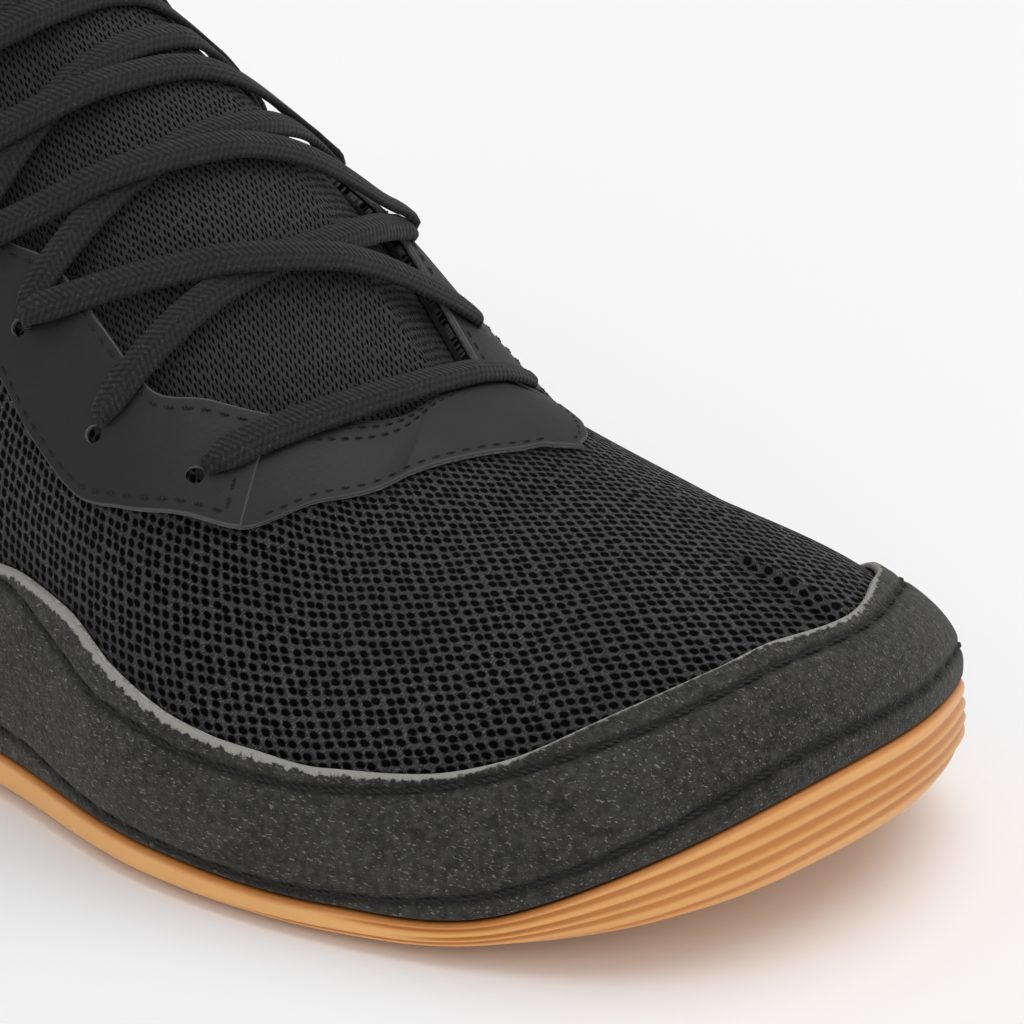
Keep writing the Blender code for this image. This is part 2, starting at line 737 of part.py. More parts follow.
def make_lace(name, start, end, middle, lift, ground, material, collection):
    path, out = lace_path(start, end, middle, lift)
    for soften in LACE_SOFTEN:
        path[1:-1] += soften * (0.25 * path[:-2] - 0.5 * path[1:-1] + 0.25 * path[2:])
        along = unit(np.gradient(path, axis=0))
        across = unit(np.cross(out, along))
        lifted = unit(np.cross(along, across))
        lift_clear(path, across, lifted, ground)
    half_wide, half_thick = LACE_WIDE / 2.0, LACE_THICK / 2.0
    shoulder = LACE_SHOULDER * half_wide
    outline = ((half_wide, 0.0), (shoulder, half_thick), (-shoulder, half_thick),
               (-half_wide, 0.0), (-shoulder, -half_thick), (shoulder, -half_thick))
    return make_tube(name, path, list(zip(across, lifted)), outline, material, collection)


def make_laces(under, material, collection):
    ground = lacing_ground(under)
    first = EYELETS[0]
    laces = make_lace("laces", first[:2], (first[0], first[2]), first[3], 0.0, ground, material, collection)
    strips = []
    for i in range(len(EYELETS) - 1):
        here, above = EYELETS[i], EYELETS[i + 1]
        middle = 0.5 * (here[3] + above[3])
        rising = ("rise_%d" % i, here[:2], (above[0], above[2]), LACE_STEP)
        falling = ("fall_%d" % i, above[:2], (here[0], here[2]), 0.0)
        for name, start, end, lift in (rising, falling):
            strips.append(make_lace(name, start, end, middle, lift, ground, material, collection))
    for strip in strips:
        apply_boolean(laces, strip, "UNION")
        bpy.data.objects.remove(strip, do_unlink=True)
    return laces


def build():
    clear_scene()
    shoe = make_collection("wrestling_shoe")
    cutters = make_collection("cutters")
    slot = {name: make_material(name) for name in MATERIALS}
    make_outsole(slot["gum_rubber"], shoe, cutters)
    make_upper(slot["knit_black"], shoe)
    tongue = make_tongue(slot["knit_black"], shoe)
    make_insole(slot["foam_grey"], shoe)
    make_rand(slot["suede_charcoal"], shoe)
    make_heel_counter(slot["synthetic_black"], shoe)
    eyestays = make_eyestays(slot["synthetic_black"], shoe)
    make_throat_band(slot["synthetic_grey"], shoe)
    make_collar_roll(slot["binding_black"], shoe)
    make_laces([tongue] + eyestays, slot["lace_black"], shoe)


build()
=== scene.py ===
"""Finished wrestling shoe, right foot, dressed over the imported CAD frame.

Every panel is a fine skin over a window of the shoe's own form: station 0 is the heel, 1 the toe, 2 the
heel again round the inner side; height 0 is the sole's edge and 1 the collar or the top line.
Tables are in millimetres, the scene in metres, toe towards +X, big toe side +Y, up +Z.
"""
import math

import bpy
import numpy as np
from mathutils import Matrix, Vector
from mathutils.bvhtree import BVHTree


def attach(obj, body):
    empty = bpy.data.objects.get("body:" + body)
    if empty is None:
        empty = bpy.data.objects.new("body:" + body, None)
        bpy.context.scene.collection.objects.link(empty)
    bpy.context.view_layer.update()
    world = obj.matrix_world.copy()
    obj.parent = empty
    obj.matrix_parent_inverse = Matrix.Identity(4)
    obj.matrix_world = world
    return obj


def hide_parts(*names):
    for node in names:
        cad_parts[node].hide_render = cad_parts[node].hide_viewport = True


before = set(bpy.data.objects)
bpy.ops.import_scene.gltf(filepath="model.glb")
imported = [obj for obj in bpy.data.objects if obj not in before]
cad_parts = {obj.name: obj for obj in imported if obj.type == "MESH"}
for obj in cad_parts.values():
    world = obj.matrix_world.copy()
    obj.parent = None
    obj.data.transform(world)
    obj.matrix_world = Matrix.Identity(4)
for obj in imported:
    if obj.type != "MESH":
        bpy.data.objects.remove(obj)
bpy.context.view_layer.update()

MM = 0.001
SHIFT_X = 2.18
SHIFT_Y = 1.66

# wall and fit sizes
UPPER_WALL = 1.8
FIT_GAP = 0.35
SEAT_GAP = 0.5
PANEL_WALL = 1.2
EYESTAY_WALL = 1.0
TONGUE_WALL = 2.0
TONGUE_RISE = 2.6
TONGUE_RISE_SPAN = 0.25
FLARE = math.radians(6.0)
SLOPE_START = 0.40
SLOPE_SPAN = 0.07
STEP_ALONG = 0.012
STEP_UP = 0.002

# sole sizes
RIM_OUT = 1.7
RIM_IN = -2.4
PLATE_EDGE = -2.7
TURN_IN = -3.0
FLAT_IN = -9.0
RIB_DEPTH = 0.7
RIB_START = 0.84
RIB_FULL = 0.90
SLOT_WIDE = 2.4
SLOT_DEEP = 1.3
SLOT_EDGE = 12.0
TURN_LIFT = 0.25
PLATE_DROP = 0.25

# insole sizes
INSOLE_INSET = -3.1
INSOLE_THICK = 3.0
INSOLE_LIFT = 0.3

# station, lateral x, lateral y, medial x, medial y, rim height
OUTLINE = (
    (0.000, -136.8, 0.0, -136.8, 0.0, 11.0),
    (0.060, -128.9, -18.2, -128.9, 18.2, 10.5),
    (0.130, -111.5, -27.8, -111.5, 27.8, 9.5),
    (0.220, -85.0, -31.8, -85.0, 30.8, 8.8),
    (0.330, -52.0, -34.3, -52.0, 27.3, 8.6),
    (0.450, -15.0, -37.6, -15.0, 26.8, 7.9),
    (0.570, 20.0, -42.2, 20.0, 32.5, 6.0),
    (0.680, 52.0, -48.6, 52.0, 42.3, 4.8),
    (0.780, 80.0, -46.4, 82.0, 45.3, 4.6),
    (0.860, 101.8, -39.6, 105.0, 41.8, 7.2),
    (0.920, 119.0, -29.0, 120.0, 36.5, 16.5),
    (0.965, 128.6, -14.8, 129.6, 24.4, 22.6),
    (1.000, 133.1, 5.5, 133.1, 5.5, 24.6),
)

# station, top x, top half width, top height, top line y
CREST = (
    (0.000, -131.0, 0.0, 152.0, 0.0),
    (0.060, -127.0, 14.5, 151.5, 0.0),
    (0.130, -113.0, 26.0, 149.0, 0.0),
    (0.220, -87.0, 32.0, 146.0, 0.0),
    (0.300, -61.0, 27.5, 148.5, 0.0),
    (0.320, -54.5, 26.5, 152.0, 0.0),
    (0.345, -48.5, 23.5, 161.0, 0.3),
    (0.375, -45.0, 15.5, 171.0, 0.8),
    (0.400, -44.0, 0.0, 174.5, 1.2),
    (0.425, -40.5, 0.0, 160.0, 1.6),
    (0.450, -34.5, 0.0, 145.0, 2.2),
    (0.570, -8.0, 0.0, 110.0, 6.0),
    (0.680, 27.0, 0.0, 83.0, 8.5),
    (0.780, 58.0, 0.0, 55.5, 8.0),
    (0.860, 80.0, 0.0, 48.6, 6.5),
    (0.920, 93.0, 0.0, 45.4, 5.5),
    (0.965, 101.0, 0.0, 43.2, 5.2),
    (1.000, 105.0, 0.0, 42.2, 5.0),
)

# station, drop of the rib's top end in degrees, lower pull, upper pull, lean of the side in degrees
RIB = (
    (0.000, 90.0, 0.40, 0.40, 8.0),
    (0.130, 90.0, 0.40, 0.40, 8.0),
    (0.220, 90.0, 0.40, 0.40, 6.0),
    (0.320, 88.0, 0.40, 0.40, 5.5),
    (0.345, 70.0, 0.44, 0.52, 5.5),
    (0.360, 54.0, 0.46, 0.74, 5.5),
    (0.375, 33.0, 0.48, 1.02, 5.5),
    (0.388, 24.0, 0.48, 1.14, 5.0),
    (0.400, 20.0, 0.49, 0.92, 4.5),
    (0.425, 12.0, 0.49, 0.70, 4.0),
    (0.450, 6.0, 0.50, 0.74, 6.0),
    (0.510, 3.0, 0.50, 0.62, 7.0),
    (0.570, 2.0, 0.47, 0.53, 7.0),
    (0.680, 0.0, 0.45, 0.50, 8.0),
    (0.780, 0.0, 0.43, 0.52, 8.0),
    (0.860, 0.0, 0.48, 0.50, 8.0),
    (0.920, 0.0, 0.50, 0.51, 8.0),
    (1.000, 0.0, 0.56, 0.55, 8.0),
)

# station, low line, then middle and top line on the lateral side, then on the medial side
LINES = (
    (0.000, 0.400, 0.88, 1.00, 0.88, 1.00),
    (0.060, 0.390, 0.88, 1.00, 0.88, 1.00),
    (0.130, 0.340, 0.88, 1.00, 0.88, 1.00),
    (0.220, 0.240, 0.87, 1.00, 0.87, 1.00),
    (0.260, 0.170, 0.86, 1.00, 0.86, 1.00),
    (0.290, 0.115, 0.846, 1.00, 0.859, 1.00),
    (0.320, 0.080, 0.724, 1.00, 0.745, 1.00),
    (0.345, 0.065, 0.640, 0.949, 0.677, 0.954),
    (0.360, 0.062, 0.629, 0.907, 0.674, 0.916),
    (0.375, 0.060, 0.547, 0.848, 0.604, 0.868),
    (0.388, 0.060, 0.468, 0.771, 0.525, 0.805),
    (0.400, 0.062, 0.390, 0.653, 0.441, 0.699),
    (0.4125, 0.070, 0.369, 0.595, 0.416, 0.647),
    (0.425, 0.080, 0.376, 0.585, 0.424, 0.648),
    (0.450, 0.110, 0.399, 0.590, 0.451, 0.666),
    (0.480, 0.135, 0.400, 0.563, 0.454, 0.651),
    (0.510, 0.160, 0.392, 0.530, 0.450, 0.640),
    (0.540, 0.182, 0.395, 0.520, 0.460, 0.642),
    (0.570, 0.202, 0.396, 0.535, 0.47, 0.645),
    (0.600, 0.220, 0.366, 0.558, 0.47, 0.65),
    (0.630, 0.225, 0.352, 0.545, 0.48, 0.67),
    (0.660, 0.205, 0.385, 0.530, 0.50, 0.69),
    (0.690, 0.197, 0.440, 0.590, 0.53, 0.73),
    (0.715, 0.207, 0.490, 0.655, 0.56, 0.77),
    (0.745, 0.232, 0.622, 0.76, 0.62, 0.83),
    (0.770, 0.247, 0.710, 0.86, 0.72, 0.90),
    (0.790, 0.260, 0.790, 1.00, 0.80, 1.00),
    (0.810, 0.272, 0.862, 1.00, 0.870, 1.00),
    (0.830, 0.285, 0.930, 1.00, 0.930, 1.00),
    (0.848, 0.303, 0.996, 1.00, 0.996, 1.00),
    (0.865, 0.325, 1.00, 1.00, 1.00, 1.00),
    (0.900, 0.395, 1.00, 1.00, 1.00, 1.00),
    (0.940, 0.483, 1.00, 1.00, 1.00, 1.00),
    (0.970, 0.545, 1.00, 1.00, 1.00, 1.00),
    (1.000, 0.555, 1.00, 1.00, 1.00, 1.00),
)

# x, height of the underside, height of the plate that carries the insole
SOLE_LEVELS = (
    (-141.0, 4.5, 8.6),
    (-133.0, 1.6, 8.6),
    (-122.0, 0.0, 8.5),
    (-52.0, 0.0, 8.1),
    (-38.0, 1.2, 7.8),
    (-15.0, 3.2, 7.2),
    (8.0, 1.0, 6.1),
    (20.0, 0.0, 5.5),
    (50.0, 0.0, 4.4),
    (76.0, 0.0, 4.2),
    (90.0, 0.7, 4.7),
    (105.0, 2.9, 6.7),
    (120.0, 6.5, 10.6),
    (133.0, 10.7, 15.0),
    (138.0, 12.6, 17.0),
)

# x of each tread slot across the sole
SLOTS_FRONT = (28.0, 39.0, 50.0, 61.0, 72.0)
SLOTS_HEEL = (-112.0, -100.0, -88.0, -76.0)

# outer side's station and height of each eyelet, then the inner side's
EYELETS = (
    (0.690, 0.490, 0.752, 0.690),
    (0.638, 0.430, 0.718, 0.660),
    (0.585, 0.462, 0.672, 0.640),
    (0.538, 0.460, 0.628, 0.615),
    (0.500, 0.468, 0.583, 0.595),
    (0.464, 0.490, 0.535, 0.585),
    (0.425, 0.500, 0.480, 0.585),
    (0.385, 0.610, 0.415, 0.600),
)

COUNTER_END = 0.26
RAND_END = 0.425
STAY_TOP = 0.29
STAY_FRONT = 0.715
STAY_FRONT_INNER = 0.768
BAND_BACK = 0.712
BAND_BACK_INNER = 0.762
BAND_FRONT = 0.848
BAND_DROP = 0.06
TONGUE_FRONT = 0.81
TONGUE_TOP = 0.345
COLLAR_END = 0.285



def closed_table(table, lateral, medial, signs):
    """Rows of one side followed by the other side's rows backwards, over stations 0 to 2."""
    front = [[row[0]] + [row[i] for i in lateral] for row in table]
    back = [[2.0 - row[0]] + [s * row[i] for i, s in zip(medial, signs)] for row in table[-2:0:-1]]
    return np.array(front + back)


class Track:
    """Columns of a closed table as smooth functions of the station."""

    def __init__(self, rows, tight):
        self.at = rows[:, 0]
        self.value = rows[:, 1:]
        times = np.concatenate([[self.at[-1] - 2.0], self.at, [2.0 + self.at[0]]])
        values = np.vstack([self.value[-1:], self.value, self.value[:1]])
        step = np.diff(times)[:, None]
        rate = np.diff(values, axis=0) / step
        before, after = step[:-1], step[1:]
        low, high = rate[:-1], rate[1:]
        self.slope = (after * low + before * high) / (before + after)
        if tight:
            turning = low * high <= 0.0
            weight_low = 2.0 * after + before
            weight_high = after + 2.0 * before
            safe_low = np.where(turning, 1.0, low)
            safe_high = np.where(turning, 1.0, high)
            mean = (weight_low + weight_high) / (weight_low / safe_low + weight_high / safe_high)
            self.slope = np.where(turning, 0.0, mean)

    def __call__(self, station):
        station = np.mod(np.asarray(station, float), 2.0)
        times = np.append(self.at, 2.0)
        values = np.vstack([self.value, self.value[:1]])
        slopes = np.vstack([self.slope, self.slope[:1]])
        i = np.clip(np.searchsorted(times, station, side="right") - 1, 0, len(self.at) - 1)
        step = (times[i + 1] - times[i])[..., None]
        s = (station - times[i])[..., None] / step
        start = (1 + 2 * s) * (1 - s) ** 2 * values[i] + s * (1 - s) ** 2 * step * slopes[i]
        finish = s * s * (3 - 2 * s) * values[i + 1] + s * s * (s - 1) * step * slopes[i + 1]
        return start + finish


FOOT = Track(closed_table(OUTLINE, (1, 2, 5), (3, 4, 5), (1, 1, 1)), False)
TOP = Track(closed_table(CREST, (1, 2, 3, 4), (1, 2, 3, 4), (1, -1, 1, 1)), True)
RIBS = Track(closed_table(RIB, (1, 2, 3, 4), (1, 2, 3, 4), (1, 1, 1, 1)), True)
PANEL = Track(closed_table(LINES, (1, 2, 3), (1, 4, 5), (1, 1, 1)), True)


def unit(vectors):
    return vectors / np.maximum(np.linalg.norm(vectors, axis=-1, keepdims=True), 1e-9)


def outline_normal(station):
    step = 1e-4
    along = FOOT(np.asarray(station) + step) - FOOT(np.asarray(station) - step)
    return unit(np.stack([along[..., 1], -along[..., 0], 0.0 * along[..., 0]], -1))


def form(station, height):
    """Point of the form: station 0 heel, 1 toe, 2 heel again; height 0 at the sole, 1 at the top."""
    station, height = np.broadcast_arrays(np.asarray(station, float), np.asarray(height, float))
    start = FOOT(station) + np.array([0.0, 0.0, SEAT_GAP])
    top = TOP(station)
    rib = RIBS(station)
    out = outline_normal(station)
    end = np.stack([top[..., 0], top[..., 3] - top[..., 1], top[..., 2]], -1)
    step = 1e-3
    ahead = TOP(station + step) - TOP(station - step)
    run_x = ahead[..., 0]
    level = np.abs(run_x) < 1e-7
    slope = np.clip(np.where(level, 0.0, ahead[..., 2] / np.where(level, 1.0, run_x)), -2.0, 2.0)
    share = np.clip((1.0 - np.abs(1.0 - np.mod(station, 2.0)) - SLOPE_START) / SLOPE_SPAN, 0.0, 1.0)
    slope = slope * share * share * (3.0 - 2.0 * share)
    rise = end[..., 2] - start[..., 2]
    flat = start[..., :2] - end[..., :2]
    run = np.linalg.norm(flat, axis=-1)
    aim = flat / np.maximum(run, 1e-6)[..., None]
    side = unit(np.stack([aim[..., 0], aim[..., 1], slope * aim[..., 0]], -1))
    drop = np.radians(rib[..., 0])
    down = -math.sin(FLARE) * out
    down[..., 2] = -math.cos(FLARE)
    leave = (np.cos(drop) * run)[..., None] * side + (np.sin(drop) * rise)[..., None] * down
    lean = np.radians(rib[..., 3])[..., None]
    up = np.sin(lean) * out + np.cos(lean) * np.array([0.0, 0.0, 1.0])
    low = start + (rib[..., 1] * rise)[..., None] * up
    high = end + rib[..., 2][..., None] * leave
    t = height[..., None]
    return (1 - t) ** 3 * start + 3 * (1 - t) ** 2 * t * low + 3 * (1 - t) * t * t * high + t ** 3 * end


def one_side_normal(station, height):
    along = form(station + STEP_ALONG, height) - form(station - STEP_ALONG, height)
    above = form(station, np.clip(height + STEP_UP, 0, 1))
    below = form(station, np.clip(height - STEP_UP, 0, 1))
    return unit(np.cross(along, above - below))


def normal(station, height):
    """Outward normal; on the top line it is the mean of both sides."""
    here = one_side_normal(station, height)
    there = one_side_normal(2.0 - station, height)
    joined = (height > 0.9999) & (np.abs(TOP(station)[..., 1]) < 1e-6)
    return np.where(joined[..., None], unit(here + there), here)


def to_metres(points):
    shifted = np.asarray(points, float) + np.array([SHIFT_X, SHIFT_Y, 0.0])
    return shifted * MM

# fine mesh sizes
ARC_SAMPLES = 41
EDGE_ROUND = 0.35
EDGE_ROWS = (0.0, 0.06, 0.16, 0.35, 0.7)

# soft troughs pressed into the knit: station and height of both ends, width and depth in mm
CREASES = (
    (0.300, 0.62, 0.420, 0.34, 7.0, 1.0),
    (0.330, 0.42, 0.440, 0.22, 6.0, 0.7),
    (0.270, 0.60, 0.200, 0.42, 8.0, 0.9),
    (0.240, 0.74, 0.160, 0.66, 7.0, 0.7),
    (0.500, 0.30, 0.560, 0.20, 6.0, 0.5),
    (1.700, 0.60, 1.580, 0.34, 7.0, 1.0),
    (1.660, 0.40, 1.560, 0.22, 6.0, 0.7),
    (1.740, 0.58, 1.810, 0.42, 8.0, 0.9),
    (1.770, 0.74, 1.850, 0.66, 7.0, 0.7),
    (0.800, 0.62, 0.850, 0.86, 6.0, 0.30),
    (0.850, 0.50, 0.890, 0.72, 5.0, 0.22),
)
CREASE_POINTS = 9


def make_creases():
    lines = []
    for q0, v0, q1, v1, wide, deep in CREASES:
        share = np.linspace(0.0, 1.0, CREASE_POINTS)
        lines.append((form(q0 + share * (q1 - q0), v0 + share * (v1 - v0)), wide, deep))
    return lines


CREASE_LINES = make_creases()


def pressed(points):
    """How deep the soft troughs are at these points, in mm."""
    depth = np.zeros(points.shape[:-1])
    for line, wide, deep in CREASE_LINES:
        near = np.full(points.shape[:-1], 1e9)
        for k in range(len(line) - 1):
            a, b = line[k], line[k + 1]
            run = b - a
            share = np.clip(((points - a) @ run) / (run @ run), 0.0, 1.0)
            near = np.minimum(near, np.linalg.norm(points - a - share[..., None] * run, axis=-1))
        depth += deep * np.exp(-(near / (0.5 * wide)) ** 2)
    return depth


def surface(station, height, offset):
    """Point and outward direction at an offset from the form, creases pressed in."""
    station, height, offset = np.broadcast_arrays(np.asarray(station, float), np.asarray(height, float),
                                                  np.asarray(offset, float))
    base = form(station, height)
    out = normal(station, height)
    return base + (offset - pressed(base))[..., None] * out, out


def sole_level(x, column):
    table = np.array(SOLE_LEVELS)
    at, value = table[:, 0], table[:, column]
    step = np.diff(at)
    rate = np.diff(value) / step
    low, high = rate[:-1], rate[1:]
    turning = low * high <= 0.0
    mean = 2.0 / (1.0 / np.where(turning, 1.0, low) + 1.0 / np.where(turning, 1.0, high))
    slope = np.concatenate([[rate[0]], np.where(turning, 0.0, mean), [rate[-1]]])
    i = np.clip(np.searchsorted(at, x) - 1, 0, len(at) - 2)
    s = (x - at[i]) / step[i]
    start = (1 + 2 * s) * (1 - s) ** 2 * value[i] + s * (1 - s) ** 2 * step[i] * slope[i]
    return start + s * s * (3 - 2 * s) * value[i + 1] + s * s * (s - 1) * step[i] * slope[i + 1]


def outline_at(station, offset):
    return (FOOT(station) + np.asarray(offset)[..., None] * outline_normal(station))[..., :2]


def smooth(value, low, high):
    share = np.clip((value - low) / (high - low), 0.0, 1.0)
    return share * share * (3.0 - 2.0 * share)


def grid_faces(rows, cols, first=0, wrap=False):
    index = first + np.arange(rows * cols).reshape(rows, cols)
    if wrap:
        index = np.concatenate([index, index[:, :1]], axis=1)
    return np.stack([index[:-1, :-1], index[:-1, 1:], index[1:, 1:], index[1:, :-1]], -1).reshape(-1, 4)


def make_piece(name, points, faces, finishes, marks=None, layers=None, cloth=None):
    """Smooth mesh piece from points in mm; layers are numbers per vertex, cloth a 2D place in mm per vertex."""
    mesh = bpy.data.meshes.new(name)
    mesh.from_pydata(to_metres(points).tolist(), [], [list(map(int, f)) for f in faces])
    for finish in finishes:
        mesh.materials.append(finish)
    mesh.shade_smooth()
    if marks is not None:
        mesh.polygons.foreach_set("material_index", np.asarray(marks, np.int32))
    for key, values in (layers or {}).items():
        layer = mesh.attributes.new(key, "FLOAT", "POINT")
        layer.data.foreach_set("value", np.asarray(values, np.float32).ravel())
    if cloth is not None:
        corner = np.zeros(len(mesh.loops), np.int32)
        mesh.loops.foreach_get("vertex_index", corner)
        layer = mesh.uv_layers.new(name="cloth")
        layer.data.foreach_set("uv", np.asarray(cloth, np.float32)[corner].ravel())
    mesh.update()
    piece = bpy.data.objects.new(name, mesh)
    bpy.context.scene.collection.objects.link(piece)
    return piece


def merge_points(points, faces, layers, near=1e-4):
    """Joins points that lie together, such as the two sides' meeting line; drops faces that collapse."""
    keys = np.round(points / near).astype(np.int64)
    _, first, back = np.unique(keys, axis=0, return_index=True, return_inverse=True)
    back = back.ravel()
    kept = []
    for face in back[faces]:
        ring = [int(p) for i, p in enumerate(face) if p != face[i - 1]]
        kept.append(ring if len(set(ring)) > 2 else None)
    good = [i for i, ring in enumerate(kept) if ring is not None]
    return points[first], [kept[i] for i in good], {k: v.ravel()[first] for k, v in layers.items()}, good


def rib_rows(stations, low, high, steps):
    """Rows of heights on each rib, close together at both lines; distances in mm from the low line."""
    share = np.linspace(0.0, 1.0, ARC_SAMPLES)[:, None]
    heights = low + share * (high - low)
    points = form(stations[None, :], heights)
    pieces = np.linalg.norm(np.diff(points, axis=0), axis=-1)
    lengths = np.concatenate([np.zeros((1, len(stations))), np.cumsum(pieces, axis=0)])
    whole = lengths[-1]
    edge = np.array(EDGE_ROWS)[:, None] * np.minimum(1.0, 0.2 * whole / EDGE_ROWS[-1])
    inner = np.linspace(0.0, 1.0, steps + 2)[1:-1, None]
    gaps = np.concatenate([edge, edge[-1] + inner * (whole - 2 * edge[-1]), whole - edge[::-1]])
    rows = np.stack([np.interp(gaps[:, c], lengths[:, c], heights[:, c]) for c in range(len(stations))], 1)
    return rows, gaps, whole


def arc(points):
    """Distance in mm along a line of points."""
    steps = np.linalg.norm(np.diff(points, axis=0), axis=-1)
    return np.concatenate([[0.0], np.cumsum(steps)])


def fine_ends(stations, gap=0.0004):
    """Adds stations close to both ends, so that the end edges can be rounded."""
    first, last = stations[0], stations[-1]
    near = np.array([0.0, 1.0, 3.0, 7.0]) * gap
    middle = stations[(stations > first + near[-1]) & (stations < last - near[-1])]
    return np.concatenate([first + near, middle, last - near[::-1]])


def rounded(distance, edge=EDGE_ROUND):
    """How far a rounded edge has dropped at a distance from it."""
    short = edge - np.clip(distance, 0.0, edge)
    return edge - np.sqrt(np.maximum(edge ** 2 - short ** 2, 0.0))


def away(points, line):
    """Distance in mm from each point to a line of points."""
    near = np.full(points.shape[:-1], 1e9)
    for a, b in zip(line[:-1], line[1:]):
        run = b - a
        share = np.clip(((points - a) @ run) / max(run @ run, 1e-12), 0.0, 1.0)
        near = np.minimum(near, np.linalg.norm(points - a - share[..., None] * run, axis=-1))
    return near


def panel_mesh(stations, low, high, steps, inner, outer, hollow=None, edge=EDGE_ROUND):
    """Points, faces, marks and layers of a closed skin over a window of the form.

    Where the high line is the shoe's middle line the two sides meet, so there is no edge there.
    """
    rows, gaps, whole = rib_rows(stations, low, high, steps)
    along = arc(form(stations, 0.5 * (low + high)))
    ends = np.minimum(along, along[-1] - along)[None, :] + 0.0 * gaps
    near = np.minimum(gaps, ends)
    joined = (high > 0.9999) & (np.abs(TOP(stations)[:, 1]) < 1e-6)
    if joined.any():
        free = np.flatnonzero(~joined)
        if len(free):
            nearby = np.concatenate([free, [free[-1] + 1]]) if free[0] == 0 else np.concatenate([[free[0] - 1], free])
            line = form(stations[nearby], high[nearby])
            near = np.minimum(near, away(form(stations[None, :], rows), line[::3] if len(line) > 60 else line))
    else:
        near = np.minimum(near, whole - gaps)
    inner_at = inner(stations[None, :], rows) if callable(inner) else inner + 0.0 * rows
    outer_at = outer(stations[None, :], rows) if callable(outer) else outer + 0.0 * rows
    top = outer_at - rounded(near, edge)
    if hollow is not None:
        top = top - hollow(stations, rows)
    upper, _ = surface(stations[None, :], rows, top)
    lower, _ = surface(stations[None, :], rows, inner_at + rounded(near, edge) * (edge > 2.0 * EDGE_ROUND))
    count, wide = rows.shape
    size = count * wide
    points = np.concatenate([upper.reshape(-1, 3), lower.reshape(-1, 3)])
    front = grid_faces(count, wide)
    back = grid_faces(count, wide, size)[:, ::-1]
    index = np.arange(size).reshape(count, wide)
    border = np.concatenate([index[0, :], index[1:, -1], index[-1, -2::-1], index[-2:0:-1, 0]])
    following = np.roll(border, -1)
    rim = np.stack([following, border, border + size, following + size], -1)
    meeting = np.zeros(size, bool)
    meeting[index[-1, joined]] = True
    rim = rim[~(meeting[border] & meeting[following])]
    faces = np.concatenate([front, back, rim])
    marks = np.concatenate([np.zeros(len(front)), np.zeros(len(back)), np.ones(len(rim))])
    layers = {
        "run": np.broadcast_to(along, rows.shape),
        "low_gap": gaps,
        "high_gap": np.where(joined[None, :], 1e3, whole - gaps),
        "end_gap": ends,
        "edge_gap": near,
    }
    layers = {key: np.concatenate([value.ravel()] * 2) for key, value in layers.items()}
    return points, faces, marks, layers


def panel(name, finishes, parts):
    """One piece from the skins of one side or of both; the last finish is for the cut edges."""
    points = np.concatenate([part[0] for part in parts])
    first = np.cumsum([0] + [len(part[0]) for part in parts])[:-1]
    faces = np.concatenate([part[1] + start for part, start in zip(parts, first)])
    marks = np.concatenate([part[2] for part in parts])
    layers = {key: np.concatenate([part[3][key] for part in parts]) for key in parts[0][3]}
    points, faces, layers, good = merge_points(points, faces, layers)
    if len(finishes) < 2:
        marks = 0.0 * marks
    cloth = None
    if "flat_x" in layers:
        cloth = np.stack([layers.pop("flat_x"), layers.pop("flat_y")], -1)
    return make_piece(name, points, faces, finishes, marks[good], layers, cloth)


def both_sides(first, last, count):
    """Stations of a window on the outer side, and of its mirror on the inner side."""
    stations = fine_ends(np.linspace(first, last, count))
    return stations, 2.0 - stations[::-1]


def line_height(station, height, gap):
    """Height on the rib at a distance in mm above a line."""
    step = 1e-3
    speed = np.linalg.norm(form(station, height + step) - form(station, height - step), axis=-1) / (2 * step)
    return height + gap / speed


